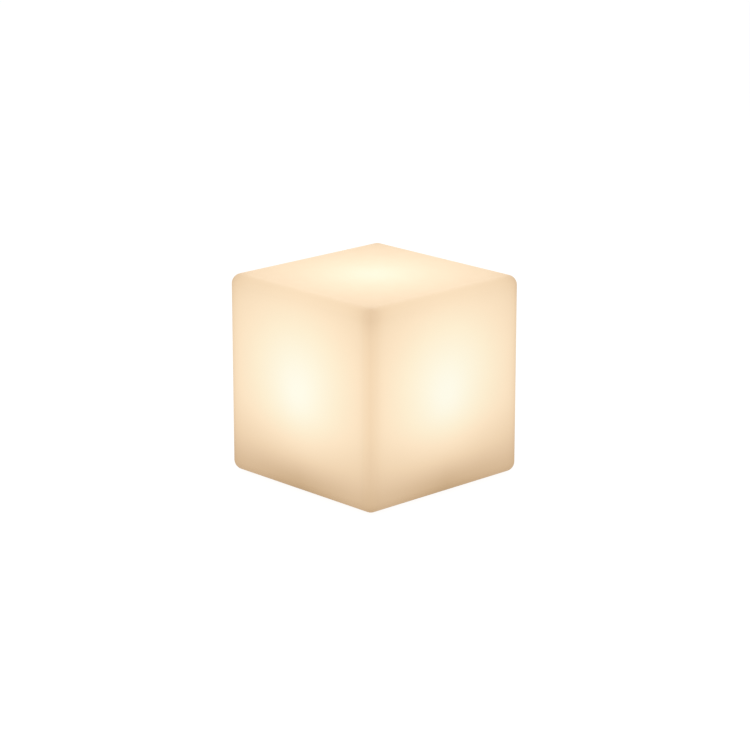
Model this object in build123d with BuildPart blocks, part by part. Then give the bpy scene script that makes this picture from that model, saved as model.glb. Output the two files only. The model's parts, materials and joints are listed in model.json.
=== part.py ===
from build123d import *
import os
from math import acos, cos, degrees, radians, sin, sqrt, tan

# A rechargeable LED cube light for the garden. A hollow cube of milky plastic stands on
# four rubber feet. A ring is screwed into a recess under it, and a round light unit
# hangs in that ring by a bayonet. The unit is a drum with the battery and the control
# board, and it carries a lamp head on a stem, so that the light source is at the
# middle of the cube. A grip bar under the drum holds the power button, the charging
# socket behind a hinged door, and a status light.
#
# Frame: millimetres, +Z up, origin on the ground under the cube's centre.
# The front of the cube is its -Y side.

# ---- Cube shell -------------------------------------------------------------------
cube_side = 200.0
cube_height = 198.0
edge_radius = 10.0
shell_wall = 3.0
recess_rim_radius = 1.0

# ---- Feet -------------------------------------------------------------------------
foot_radius = 8.0
foot_stand = 2.0
foot_socket_depth = 1.2
foot_socket_gap = 0.2
foot_inset = 22.0
foot_chamfer = 0.6

# ---- Light unit: drum, dish with two finger recesses, and the bar between them ----
unit_radius = 62.0
unit_wall = 3.0
unit_flange = 2.4
unit_setback = 0.3
dish_radius = 53.5
dish_depth = 10.2
dish_wall = 2.5
finger_corner = 4.0
finger_edge_radius = 1.2
bar_width = 28.0
bar_wall = 2.5

# ---- Bayonet between the light unit and the mounting ring -------------------------
bayonet_count = 4
bayonet_gap = 0.6
bayonet_play = 0.2
lug_reach = 3.0
lug_thickness = 3.0
lug_span = 36.0
lug_stop_angle = 0.5
ledge_rise = 0.3
ledge_thickness = 3.0
ledge_span = 38.0
stop_width = 2.0

# ---- Mounting ring ----------------------------------------------------------------
ring_setback = 0.5
ring_flange = 3.0
ring_flange_width = 11.5
ring_gap = 0.5
neck_wall = 2.5
neck_height = 15.5
ring_gasket_thickness = 1.0
ring_gasket_inset = 1.0

# ---- Seal between the drum and the ring -------------------------------------------
seal_section = 2.0
seal_gap = 0.2
seal_groove_width = 2.6
seal_above_channel = 4.0

# ---- Screws, their holes, and the shell's brass inserts ---------------------------
thread_gap = 0.05
ring_screw_count = 8
ring_screw_radius = 2.0
ring_screw_head = 3.8
ring_screw_length = 10.0
countersink_angle = 90.0
m3_radius = 1.5
m3_head = 2.75
m3_head_height = 1.7
m3_length = 8.0
m3_short_length = 5.6
small_radius = 1.25
small_head = 2.3
small_head_height = 1.5
small_length = 6.0
head_rounding = 0.6
tip_chamfer = 0.4
drive_radius = 1.1
drive_depth = 0.9
drive_sides = 6
insert_radius = 2.9
insert_length = 7.0
insert_groove_width = 1.4
insert_groove_depth = 0.4
insert_boss_wall = 1.6
insert_boss_cap = 1.5

# ---- Control board and what is soldered to it -------------------------------------
board_width = 46.0
board_thickness = 1.6
board_corner = 4.0
board_edge = 0.8
board_rise = 4.5
board_post_inset = 5.0
board_post_radius = 3.0
charge_chip = (5.0, 4.0, 1.5)
charge_chip_place = (-20.0, 10.0)
timer_chip = (4.0, 4.0, 0.9)
timer_chip_place = (-8.0, -14.0)
driver_chip = (6.0, 5.0, 1.6)
driver_chip_place = (18.0, 12.0)
inductor_side = 8.0
inductor_corner = 2.0
inductor_height = 4.0
inductor_place = (20.0, -12.0)
capacitor_radius = 2.5
capacitor_height = 4.8
capacitor_places = [(-30.0, -12.0), (-22.0, -12.0)]

# ---- Power button -----------------------------------------------------------------
button_radius = 7.0
button_gap = 0.3
button_setback = 0.3
button_rest_gap = 0.1
button_travel = 1.2
button_edge = 0.4
button_lip = 2.0
button_lip_thickness = 1.5
button_stem_radius = 3.0
button_mark_depth = 0.4
button_mark_radius = 3.0
button_mark_width = 0.8
button_mark_opening = 70.0
spring_wire = 0.25
spring_radius = 4.6
spring_turns = 2.5
spring_room = 3.8
spring_end_gap = 0.05
guide_thickness = 2.0
guide_sleeve_wall = 1.8
guide_sleeve_height = 2.0
guide_bore_gap = 0.2
guide_post_gap = 1.0
guide_lug_radius = 3.5
guide_disc_radius = 7.0
button_seal_section = 1.0
button_seal_gap = 0.1
button_seal_groove = 1.2
switch_side = 6.0
switch_height = 3.5
switch_cap = 0.4
switch_gap = 0.3
plunger_radius = 1.75
plunger_grip = 1.7
plunger_gap = 0.15

# ---- Charging socket --------------------------------------------------------------
port_x = -32.0
port_pocket_x = 9.2
port_pocket_y = 15.8
port_pocket_depth = 4.2
port_rounding = 0.45
port_ceiling = 2.0
port_block_wall = 2.0
nose_x = 3.26
nose_y = 8.94
nose_wall = 0.3
nose_reach = 1.5
nose_gap = 0.2
nose_depth = 6.2
socket_back = 1.0
socket_base_x = 6.0
socket_base_y = 10.6
socket_base_height = 6.2
tongue_x = 0.7
tongue_y = 6.7
tongue_length = 4.6
socket_gasket_width = 1.6

# ---- Charging door, its hinge and its plug ----------------------------------------
door_side_margin = 2.6
door_end_margin = 7.5
door_thickness = 2.0
door_setback = 0.1
door_gap = 0.3
door_corner = 2.0
door_opening = 120.0
hinge_margin = 9.4
hinge_radius = 1.7
hinge_gap = 0.4
hinge_roof = 0.9
hinge_knuckle = 12.0
hinge_pin_radius = 0.8
hinge_pin_gap = 0.05
hinge_bore_over = 1.0
door_plug_gap_x = 0.6
door_plug_gap_y = 0.4
door_plug_end_gap = 0.8
door_plug_chamfer = 0.6
door_block_margin = 3.2
nail_notch_radius = 5.0
nail_notch_depth = 1.4
nail_notch_overlap = 2.5

# ---- Status light -----------------------------------------------------------------
status_x = 26.0
pipe_radius = 1.55
pipe_flange_radius = 2.6
pipe_flange = 1.0
pipe_boss_radius = 3.4
pipe_boss_height = 6.8
pipe_setback = 0.1
status_led_radius = 1.5
status_led_body = 2.8
status_led_rim = 0.35
status_led_rim_height = 0.7
status_led_gap = 0.3

# ---- Battery and its tray ---------------------------------------------------------
cell_radius = 9.2
cell_length = 65.0
cell_spacing = 24.0
cell_gap = 0.3
cell_end_gap = 0.2
cell_edge = 0.8
terminal_radius = 3.2
terminal_height = 0.8
tab_thickness = 0.3
tab_side = 8.0
tray_plate = 2.0
tray_wall = 2.0
tray_width = 76.0
tray_corner = 4.0
cradle_gap = 0.5
cradle_margin = 1.5
board_to_tray = 5.4
tray_post_inset_x = 5.0
tray_post_inset_y = 4.0
tray_post_radius = 3.5
tray_slot_gap = 2.0
wire_notch = 3.2

# ---- Cover over the drum ----------------------------------------------------------
cover_thickness = 2.5
cover_gasket_thickness = 1.0
cover_gasket_margin = 0.2
cover_room = 2.3
cover_chamfer = 0.8
spigot_gap = 0.3
spigot_wall = 2.0
spigot_height = 3.0
cover_screw_count = 6
cover_screw_angle = 30.0
cover_boss_radius = 3.5
cover_boss_gap = 1.2
cell_rib_x = 20.0
cell_rib_thickness = 2.0

# ---- Lamp stem --------------------------------------------------------------------
stem_flange_radius = 29.5
stem_flange = 3.0
stem_radius = 15.0
stem_wall = 2.5
stem_taper = 1.5
stem_screw_count = 4
stem_screw_inset = 4.5
stem_boss_radius = 4.0
stem_boss_height = 5.0
stem_hole_over = 1.0
stem_rib_thickness = 2.0
stem_rib_height = 9.0
stem_rib_inset = 2.0
head_plate_radius = 31.0
head_plate = 3.0
head_bore_radius = 8.0
grommet_hole = 4.5
grommet_lip = 2.0
grommet_lip_height = 1.2
grommet_bore_gap = 0.1

# ---- Lamp head: milky globe, clamping ring, heat sink and LED boards --------------
globe_radius = 34.0
globe_wall = 1.6
globe_neck_radius = 22.0
globe_neck_height = 1.0
globe_flange_radius = 26.0
globe_flange = 2.0
globe_ring_gap = 0.3
globe_ring_lip = 1.5
globe_ring_clearance = 0.6
globe_screw_count = 3
globe_screw_inset = 2.5
heat_sink_side = 22.0
heat_sink_chamfer = 2.0
heat_sink_foot_radius = 18.0
heat_sink_foot = 3.0
heat_sink_bore = 3.5
heat_sink_screw_count = 4
heat_sink_screw_inset = 3.5
heat_sink_cap = 1.0
led_board_width = 20.0
led_board_height = 32.0
led_board_thickness = 1.2
led_board_drop = 2.0
led_width = 3.5
led_height = 2.8
led_thickness = 0.8
led_column_pitch = 10.0
led_row_pitch = 8.0
led_columns = 2
led_rows = 4

# ---- Wires and their plugs --------------------------------------------------------
wire_radius = 0.8
wire_pitch = 2.4
wire_slack = 2.2
wire_spread = 0.6
wire_arc_share = 0.45
plug_x = 4.0
plug_y = 6.0
plug_height = 6.0
plug_chamfer = 0.4
plug_gap = 0.1
plug_socket_wall = 0.6
plug_socket_floor = 1.0
plug_socket_height = 4.6
plug_tray_gap = 1.5

# ---- Heights, radii and places that follow from the sizes above -------------------
half_side = cube_side / 2
foot_place = half_side - foot_inset
shell_bottom = foot_stand
lamp_z = shell_bottom + cube_height / 2

ring_bottom = shell_bottom + ring_setback
ring_flange_top = ring_bottom + ring_flange
recess_floor = ring_flange_top + ring_gasket_thickness
recess_inner = recess_floor + shell_wall

ledge_radius = unit_radius + bayonet_gap
lug_radius = unit_radius + lug_reach
channel_radius = lug_radius + ring_gap
neck_radius = channel_radius + neck_wall
ring_radius = neck_radius + ring_flange_width
opening_radius = neck_radius + ring_gap
recess_radius = ring_radius + ring_gap
ring_screw_circle = (neck_radius + ring_radius) / 2
insert_boss_radius = insert_radius + insert_boss_wall

unit_bottom = ring_bottom + unit_setback
flange_top = unit_bottom + unit_flange
ledge_bottom = flange_top + ledge_rise
ledge_top = ledge_bottom + ledge_thickness
lug_bottom = ledge_top + bayonet_play
lug_top = lug_bottom + lug_thickness
channel_top = lug_top + 2 * bayonet_play
neck_top = ring_flange_top + neck_height
stop_span = degrees(stop_width / channel_radius)
lug_start = ledge_span - lug_stop_angle - lug_span
seal_z = channel_top + seal_above_channel
seal_outer = ledge_radius - seal_gap
seal_groove_radius = seal_outer - seal_section - seal_gap / 2

inner_radius = unit_radius - unit_wall
dish_floor = unit_bottom + dish_depth
dish_inner = dish_floor + dish_wall
channel_width = bar_width - 2 * bar_wall
bar_length = 2 * dish_radius

board_bottom = dish_inner + board_rise
board_top = board_bottom + board_thickness
tray_bottom = board_top + board_to_tray
tray_top = tray_bottom + tray_plate
cell_z = tray_top + cell_gap + cell_radius
cell_top = cell_z + cell_radius
cover_bottom = cell_top + cover_room
cover_top = cover_bottom + cover_thickness
housing_top = cover_bottom - cover_gasket_thickness
spigot_radius = inner_radius - spigot_gap
cover_screw_circle = spigot_radius - spigot_wall - cover_boss_gap - cover_boss_radius

cell_half = cell_length / 2
cell_y = cell_spacing / 2
cradle_width = cell_spacing + 2 * (cell_radius + cradle_margin)
cradle_top = cell_z - tab_side / 2 - cradle_gap
tray_wall_x = cell_half + tab_thickness + cell_end_gap
tray_half = tray_wall_x + tray_wall
tray_post_x = tray_half - tray_post_inset_x
tray_post_y = tray_width / 2 - tray_post_inset_y
socket_outer_x = plug_x + 2 * (plug_gap + plug_socket_wall)
socket_outer_y = plug_y + 2 * (plug_gap + plug_socket_wall)
battery_plug_x = tray_half + plug_tray_gap + plug_x / 2
board_length = 2 * (battery_plug_x + socket_outer_x / 2 + board_edge)
board_post_x = board_length / 2 - board_post_inset
board_post_y = board_width / 2 - board_post_inset
plug_bottom = board_top + plug_socket_floor
plug_top = plug_bottom + plug_height

button_bottom = unit_bottom + button_setback
button_lip_bottom = flange_top + button_rest_gap
button_lip_top = button_lip_bottom + button_lip_thickness
guide_bottom = button_lip_top + spring_room
guide_top = guide_bottom + guide_thickness
sleeve_top = guide_top + guide_sleeve_height
guide_post_x = button_radius + button_lip + guide_post_gap + board_post_radius
guide_bore = button_stem_radius + guide_bore_gap
switch_bottom = board_bottom - switch_height
stem_top = switch_bottom - button_travel - switch_gap
button_seal_outer = guide_bore - button_seal_gap
button_seal_z = (guide_bottom + sleeve_top - button_travel) / 2

door_bottom = unit_bottom + door_setback
door_top = door_bottom + door_thickness
door_ceiling = door_top + 2 * door_setback
door_end = port_x + port_pocket_x / 2 + door_end_margin
door_width = port_pocket_y + 2 * door_side_margin
door_recess_width = door_width + 2 * door_gap
hinge_x = port_x - port_pocket_x / 2 - hinge_margin
hinge_z = door_bottom + hinge_radius
hinge_pocket = hinge_radius + hinge_gap
door_block_top = hinge_z + hinge_pocket + hinge_roof
pocket_top = door_ceiling + port_pocket_depth
ceiling_top = pocket_top + port_ceiling
nose_bottom = ceiling_top - nose_reach
nose_top = board_bottom - socket_back
core_face = nose_bottom + nose_depth
socket_base_bottom = board_bottom - socket_base_height

status_boss_top = flange_top + pipe_boss_height
status_led_shoulder = board_bottom - status_led_body
pipe_top = status_led_shoulder - status_led_radius - status_led_gap

stem_screw_circle = stem_flange_radius - stem_screw_inset
globe_neck_z = lamp_z - sqrt(globe_radius**2 - globe_neck_radius**2)
globe_flange_top = globe_neck_z - globe_neck_height
head_top = globe_flange_top - globe_flange
head_bottom = head_top - head_plate
globe_ring_step = globe_flange_top + globe_ring_gap
globe_ring_top = globe_ring_step + globe_ring_lip
globe_at_ring = sqrt(globe_radius**2 - (lamp_z - globe_ring_top) ** 2)
globe_screw_circle = head_plate_radius - globe_screw_inset
heat_sink_foot_top = head_top + heat_sink_foot
heat_sink_screw_circle = heat_sink_foot_radius - heat_sink_screw_inset
led_board_z = lamp_z - led_board_drop
column_top = led_board_z + led_board_height / 2 + heat_sink_cap
top_board_top = column_top + led_board_thickness
wire_bundle = wire_pitch / 2 + wire_radius
grommet_bore = wire_bundle + grommet_bore_gap


# ---- Helpers ----------------------------------------------------------------------
def save(part, name):
    """Label a finished piece and write it to its own file."""
    part.label = name
    export_step(part, f"parts/{name}.step")


def ring_sector(inner, outer, start, span):
    """A piece of a flat ring between two radii that starts at an angle and spans one."""
    with BuildSketch() as sector:
        with BuildLine():
            outside = CenterArc((0, 0), outer, start, span)
            inside = CenterArc((0, 0), inner, start, span)
            Line(outside @ 0, inside @ 0)
            Line(outside @ 1, inside @ 1)
        make_face()
    return sector.sketch


def nose_outline(margin):
    """The charging socket's rounded outline, grown or shrunk by a margin."""
    width = nose_x + 2 * margin
    with BuildSketch() as outline:
        RectangleRounded(width, nose_y + 2 * margin, width * port_rounding)
    return outline.sketch


def pan_screw(thread_radius, length, head_radius, head_height):
    """A round-headed screw that hangs from Z = 0, with its thread below and head above."""
    with BuildPart() as screw:
        with BuildSketch():
            Circle(head_radius)
        extrude(amount=head_height)
        fillet(screw.edges().sort_by(Axis.Z)[-1], radius=head_rounding)
        with BuildSketch():
            Circle(thread_radius)
        extrude(amount=-length)
        chamfer(screw.edges().sort_by(Axis.Z)[0], length=tip_chamfer)
        with BuildSketch(Plane.XY.offset(head_height)):
            RegularPolygon(drive_radius, drive_sides)
        extrude(amount=-drive_depth, mode=Mode.SUBTRACT)
    return screw.part


def wire(points):
    """A round wire along straight runs joined by arcs as large as the runs allow."""
    corners = [Vector(*point) for point in points]
    radii = []
    for before, corner, after in zip(corners, corners[1:], corners[2:]):
        turn = radians((corner - before).get_angle(after - corner))
        shorter = min((corner - before).length, (after - corner).length)
        radii.append(wire_arc_share * shorter / tan(turn / 2))
    with BuildPart() as tube:
        with BuildLine():
            route = FilletPolyline(*points, radius=radii)
        with BuildSketch(Plane(origin=route @ 0, z_dir=route % 0)):
            Circle(wire_radius)
        sweep(path=route)
    print("wire", round(route.length, 1), "mm, radii", [round(radius, 1) for radius in radii])
    return tube.part


def plug_socket():
    """An open-topped box on the board, at Z = 0, that a plug pushes into."""
    with BuildPart() as box:
        with BuildSketch():
            Rectangle(socket_outer_x, socket_outer_y)
        extrude(amount=plug_socket_height)
        with BuildSketch(Plane.XY.offset(plug_socket_floor)):
            Rectangle(plug_x + 2 * plug_gap, plug_y + 2 * plug_gap)
        extrude(amount=plug_socket_height - plug_socket_floor, mode=Mode.SUBTRACT)
    return box.part


def wire_plug():
    """The plug that pushes into that box."""
    with BuildPart() as body:
        with BuildSketch(Plane.XY.offset(plug_socket_floor)):
            Rectangle(plug_x, plug_y)
        extrude(amount=plug_height)
        chamfer(body.edges().group_by(Axis.Z)[-1], length=plug_chamfer)
    return body.part


def lamp_side(angle, distance):
    """The plane of one upright side of the lamp column, turned about Z from the front."""
    outward = Vector(sin(radians(angle)), -cos(radians(angle)), 0)
    along = Vector(cos(radians(angle)), sin(radians(angle)), 0)
    return Plane(origin=outward * distance + Vector(0, 0, led_board_z), x_dir=along, z_dir=outward)


os.makedirs("parts", exist_ok=True)

# ---- Cube shell: one hollow moulding with a stepped recess and a round opening ----
with BuildPart() as cavity:
    with BuildSketch(Plane.XY.offset(shell_bottom + shell_wall)):
        Rectangle(cube_side - 2 * shell_wall, cube_side - 2 * shell_wall)
    extrude(amount=cube_height - 2 * shell_wall)
    fillet(cavity.edges(), radius=edge_radius - shell_wall)

with BuildPart() as cube_shell:
    with BuildSketch(Plane.XY.offset(shell_bottom)):
        Rectangle(cube_side, cube_side)
    extrude(amount=cube_height)
    fillet(cube_shell.edges(), radius=edge_radius)
    add(cavity.part, mode=Mode.SUBTRACT)
    # The bottom steps up round the ring and carries a boss for each insert. The rim of
    # the recess is rounded, so its cut is turned from a profile that flares at the mouth.
    with BuildSketch(Plane.XY.offset(shell_bottom + shell_wall / 2)):
        Circle(recess_radius + shell_wall)
    extrude(amount=recess_inner - shell_bottom - shell_wall / 2)
    with BuildSketch(Plane.XZ):
        with BuildLine():
            rim_centre = (recess_radius + recess_rim_radius, shell_bottom + recess_rim_radius)
            rim = CenterArc(rim_centre, recess_rim_radius, 180, 90)
            Polyline(rim @ 0, (recess_radius, recess_floor), (0, recess_floor), (0, shell_bottom), rim @ 1)
        make_face()
    revolve(axis=Axis.Z, mode=Mode.SUBTRACT)
    with BuildSketch(Plane.XY.offset(recess_floor)):
        with PolarLocations(ring_screw_circle, ring_screw_count):
            Circle(insert_boss_radius)
    extrude(amount=insert_length + insert_boss_cap)
    with BuildSketch(Plane.XY.offset(recess_floor)):
        Circle(opening_radius)
    extrude(amount=insert_length + insert_boss_cap, mode=Mode.SUBTRACT)
    with BuildSketch(Plane.XY.offset(recess_floor)):
        with PolarLocations(ring_screw_circle, ring_screw_count):
            Circle(insert_radius + thread_gap)
    extrude(amount=insert_length, mode=Mode.SUBTRACT)
    with BuildSketch(Plane.XY.offset(shell_bottom)):
        with GridLocations(2 * foot_place, 2 * foot_place, 2, 2):
            Circle(foot_radius + foot_socket_gap)
    extrude(amount=foot_socket_depth, mode=Mode.SUBTRACT)
save(cube_shell.part, "cube_shell")

# ---- Brass inserts in the shell's bosses, each with a groove that holds it --------
with BuildPart() as shell_inserts:
    with BuildSketch(Plane.XY.offset(recess_floor)):
        with PolarLocations(ring_screw_circle, ring_screw_count):
            Circle(insert_radius)
            Circle(ring_screw_radius + thread_gap, mode=Mode.SUBTRACT)
    extrude(amount=insert_length)
    groove_bottom = recess_floor + (insert_length - insert_groove_width) / 2
    with BuildSketch(Plane.XY.offset(groove_bottom)):
        with PolarLocations(ring_screw_circle, ring_screw_count):
            Circle(insert_radius)
            Circle(insert_radius - insert_groove_depth, mode=Mode.SUBTRACT)
    extrude(amount=insert_groove_width, mode=Mode.SUBTRACT)
save(shell_inserts.part, "shell_inserts")

# ---- Rubber feet in their shallow sockets -----------------------------------------
foot_places = {
    "foot_front_left": (-foot_place, -foot_place),
    "foot_front_right": (foot_place, -foot_place),
    "foot_back_left": (-foot_place, foot_place),
    "foot_back_right": (foot_place, foot_place),
}
for foot_name, place in foot_places.items():
    with BuildPart() as foot:
        with BuildSketch():
            with Locations(place):
                Circle(foot_radius)
        extrude(amount=foot_stand + foot_socket_depth)
        chamfer(foot.edges().sort_by(Axis.Z)[0], length=foot_chamfer)
    save(foot.part, foot_name)

# ---- Mounting ring: flange, neck, and the bayonet's ledges and stops --------------
with BuildPart() as mounting_ring:
    with BuildSketch(Plane.XZ):
        with BuildLine():
            Polyline(
                (channel_radius, ring_bottom),
                (ring_radius, ring_bottom),
                (ring_radius, ring_flange_top),
                (neck_radius, ring_flange_top),
                (neck_radius, neck_top),
                (ledge_radius, neck_top),
                (ledge_radius, channel_top),
                (channel_radius, channel_top),
                close=True,
            )
        make_face()
    revolve(axis=Axis.Z)
    bottom_edges = mounting_ring.edges().group_by(Axis.Z)[0]
    fillet(bottom_edges.sort_by(SortBy.RADIUS)[-1], radius=recess_rim_radius)
    with BuildSketch(Plane.XY.offset(ledge_bottom)):
        with PolarLocations(0, bayonet_count):
            add(ring_sector(ledge_radius, channel_radius + neck_wall / 2, 0, ledge_span))
    extrude(amount=ledge_thickness)
    with BuildSketch(Plane.XY.offset(ledge_bottom)):
        with PolarLocations(0, bayonet_count):
            add(ring_sector(ledge_radius, channel_radius + neck_wall / 2, ledge_span, stop_span))
    extrude(amount=channel_top - ledge_bottom)
    with Locations(Plane(origin=(0, 0, ring_bottom), z_dir=(0, 0, -1))):
        with PolarLocations(ring_screw_circle, ring_screw_count):
            CounterSinkHole(
                ring_screw_radius + 2 * thread_gap,
                ring_screw_head + 2 * thread_gap,
                depth=ring_flange,
                counter_sink_angle=countersink_angle,
            )
save(mounting_ring.part, "mounting_ring")

# ---- Flat gasket between the ring's flange and the shell --------------------------
with BuildPart() as ring_gasket:
    with BuildSketch(Plane.XY.offset(ring_flange_top)):
        Circle(ring_radius - ring_gasket_inset)
        Circle(opening_radius + ring_gasket_inset, mode=Mode.SUBTRACT)
        with PolarLocations(ring_screw_circle, ring_screw_count):
            Circle(ring_screw_radius + thread_gap, mode=Mode.SUBTRACT)
    extrude(amount=ring_gasket_thickness)
save(ring_gasket.part, "ring_gasket")

# ---- Flat-headed screws through the ring into the inserts -------------------------
with BuildPart() as ring_screw:
    head_drop = (ring_screw_head - ring_screw_radius) / tan(radians(countersink_angle / 2))
    with BuildSketch(Plane.XZ):
        with BuildLine():
            Polyline(
                (0, 0),
                (ring_screw_head, 0),
                (ring_screw_radius, head_drop),
                (ring_screw_radius, ring_screw_length),
                (0, ring_screw_length),
                close=True,
            )
        make_face()
    revolve(axis=Axis.Z)
    chamfer(ring_screw.edges().group_by(Axis.Z)[-1], length=tip_chamfer)
    with BuildSketch():
        RegularPolygon(drive_radius, drive_sides)
    extrude(amount=drive_depth, mode=Mode.SUBTRACT)

with BuildPart() as ring_screws:
    with Locations((0, 0, ring_bottom + thread_gap)):
        with PolarLocations(ring_screw_circle, ring_screw_count):
            add(ring_screw.part)
save(ring_screws.part, "ring_screws")

# ---- Light unit housing -----------------------------------------------------------
with BuildPart() as unit_housing:
    with BuildSketch(Plane.XY.offset(unit_bottom)):
        Circle(unit_radius)
    extrude(amount=housing_top - unit_bottom)
    with BuildSketch(Plane.XY.offset(unit_bottom)):
        Circle(lug_radius)
    extrude(amount=unit_flange)
    with BuildSketch(Plane.XY.offset(flange_top)):
        Circle(inner_radius)
    extrude(amount=housing_top - flange_top, mode=Mode.SUBTRACT)
    # The dish, its two finger recesses, and the hollow bar that is left between them.
    with BuildSketch(Plane.XY.offset(unit_bottom)):
        Circle(dish_radius + dish_wall)
    extrude(amount=dish_inner - unit_bottom)
    with BuildSketch(Plane.XY.offset(unit_bottom)) as recesses:
        Circle(dish_radius)
        Rectangle(bar_length, bar_width, mode=Mode.SUBTRACT)
        fillet(recesses.vertices(), radius=finger_corner)
    extrude(amount=dish_depth, mode=Mode.SUBTRACT)
    mouth_edges = unit_housing.edges().group_by(Axis.Z)[0]
    fillet(mouth_edges.filter_by(lambda edge: not edge.is_closed), radius=finger_edge_radius)
    with BuildSketch(Plane.XY.offset(flange_top)):
        Rectangle(bar_length, channel_width)
    extrude(amount=dish_inner - flange_top, mode=Mode.SUBTRACT)
    # Bayonet lugs, and the groove for the seal.
    with BuildSketch(Plane.XY.offset(lug_bottom)):
        with PolarLocations(0, bayonet_count):
            add(ring_sector(unit_radius - unit_wall / 2, lug_radius, lug_start, lug_span))
    extrude(amount=lug_thickness)
    with BuildSketch(Plane.XY.offset(seal_z - seal_groove_width / 2)):
        Circle(lug_radius)
        Circle(seal_groove_radius, mode=Mode.SUBTRACT)
    extrude(amount=seal_groove_width, mode=Mode.SUBTRACT)
    # Posts and bosses for the cover, the battery tray and the control board.
    with BuildSketch(Plane.XY.offset(dish_floor)):
        with PolarLocations(cover_screw_circle, cover_screw_count, cover_screw_angle):
            Circle(cover_boss_radius)
    extrude(amount=cover_bottom - dish_floor)
    with BuildSketch(Plane.XY.offset(dish_floor)):
        with GridLocations(2 * tray_post_x, 2 * tray_post_y, 2, 2):
            Circle(tray_post_radius)
    extrude(amount=tray_bottom - dish_floor)
    with BuildSketch(Plane.XY.offset(dish_floor)):
        with GridLocations(2 * board_post_x, 2 * board_post_y, 2, 2):
            Circle(board_post_radius)
    extrude(amount=board_bottom - dish_floor)
    # In the bar: two posts for the button's guide, and a boss for the light pipe.
    with BuildSketch(Plane.XY.offset(unit_bottom)):
        with GridLocations(2 * guide_post_x, 0, 2, 1):
            Circle(board_post_radius)
    extrude(amount=guide_bottom - unit_bottom)
    with BuildSketch(Plane.XY.offset(unit_bottom)):
        with Locations((status_x, 0)):
            Circle(pipe_boss_radius)
    extrude(amount=status_boss_top - unit_bottom)
    # The thick floor above the door, and the block round the charging socket.
    block_start = hinge_x - door_block_margin
    block_end = door_end + door_block_margin
    with BuildSketch(Plane.XY.offset(unit_bottom)):
        with Locations(((block_start + block_end) / 2, 0)):
            Rectangle(block_end - block_start, channel_width)
    extrude(amount=door_block_top - unit_bottom)
    with BuildSketch(Plane.XY.offset(unit_bottom)):
        with Locations((port_x, 0)):
            Rectangle(port_pocket_x + 2 * port_block_wall, channel_width)
    extrude(amount=ceiling_top - unit_bottom)
    # Recess for the door, with a notch for a fingernail at its free end.
    recess_end = door_end + door_gap
    with BuildSketch(Plane.XY.offset(unit_bottom)):
        with Locations(((hinge_x + recess_end) / 2, 0)):
            Rectangle(recess_end - hinge_x, door_recess_width)
    extrude(amount=door_ceiling - unit_bottom, mode=Mode.SUBTRACT)
    with BuildSketch(Plane.XY.offset(unit_bottom)):
        with Locations((door_end + nail_notch_overlap, 0)):
            Circle(nail_notch_radius)
    extrude(amount=nail_notch_depth, mode=Mode.SUBTRACT)
    # Round pocket for the hinge, with a bevel that the open door lies along.
    bevel_slope = tan(radians(door_opening - 90))
    bevel_x = hinge_x - hinge_pocket / sin(radians(door_opening))
    bevel_bottom = bevel_x - bevel_slope * (hinge_z - unit_bottom)
    with BuildSketch(Plane.XZ.offset(-door_recess_width / 2)):
        with Locations((hinge_x, hinge_z)):
            Circle(hinge_pocket)
        with BuildLine():
            Polyline(
                (hinge_x, hinge_z + hinge_radius),
                (bevel_x + bevel_slope * hinge_radius, hinge_z + hinge_radius),
                (bevel_bottom, unit_bottom),
                (hinge_x, unit_bottom),
                close=True,
            )
        make_face()
    extrude(amount=door_recess_width, mode=Mode.SUBTRACT)
    # Fixed hinge knuckles, one on each side of the door's own.
    knuckle_start = hinge_knuckle / 2 + door_gap
    for side in (-1, 1):
        with BuildSketch(Plane.XZ.offset(side * knuckle_start)):
            with Locations((hinge_x, hinge_z)):
                Circle(hinge_radius)
            with Locations((hinge_x - hinge_radius / 2, hinge_z + hinge_pocket / 2)):
                Rectangle(hinge_radius, hinge_pocket + hinge_gap)
        extrude(amount=side * (door_recess_width / 2 - knuckle_start))
    # Pocket for the charging plug, and the slot that the socket's nose reaches into.
    with BuildSketch(Plane.XY.offset(unit_bottom)):
        with Locations((port_x, 0)):
            RectangleRounded(port_pocket_x, port_pocket_y, port_pocket_x * port_rounding)
    extrude(amount=pocket_top - unit_bottom, mode=Mode.SUBTRACT)
    with BuildSketch(Plane.XY.offset(pocket_top)):
        with Locations((port_x, 0)):
            add(nose_outline(nose_gap))
    extrude(amount=port_ceiling, mode=Mode.SUBTRACT)
    # Holes for the button and the light pipe, and a bore for the hinge pin that is
    # open at the back of the bar, so that the pin can be pushed in.
    with BuildSketch(Plane.XY.offset(unit_bottom)):
        Circle(button_radius + button_gap)
    extrude(amount=unit_flange, mode=Mode.SUBTRACT)
    with BuildSketch(Plane.XY.offset(unit_bottom)):
        with Locations((status_x, 0)):
            Circle(pipe_radius + thread_gap)
    extrude(amount=status_boss_top - unit_bottom, mode=Mode.SUBTRACT)
    with BuildSketch(Plane.XZ.offset(door_width / 2)):
        with Locations((hinge_x, hinge_z)):
            Circle(hinge_pin_radius + thread_gap / 2)
    bore_length = door_width / 2 + bar_width / 2 + hinge_bore_over
    extrude(amount=-bore_length, mode=Mode.SUBTRACT)
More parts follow.
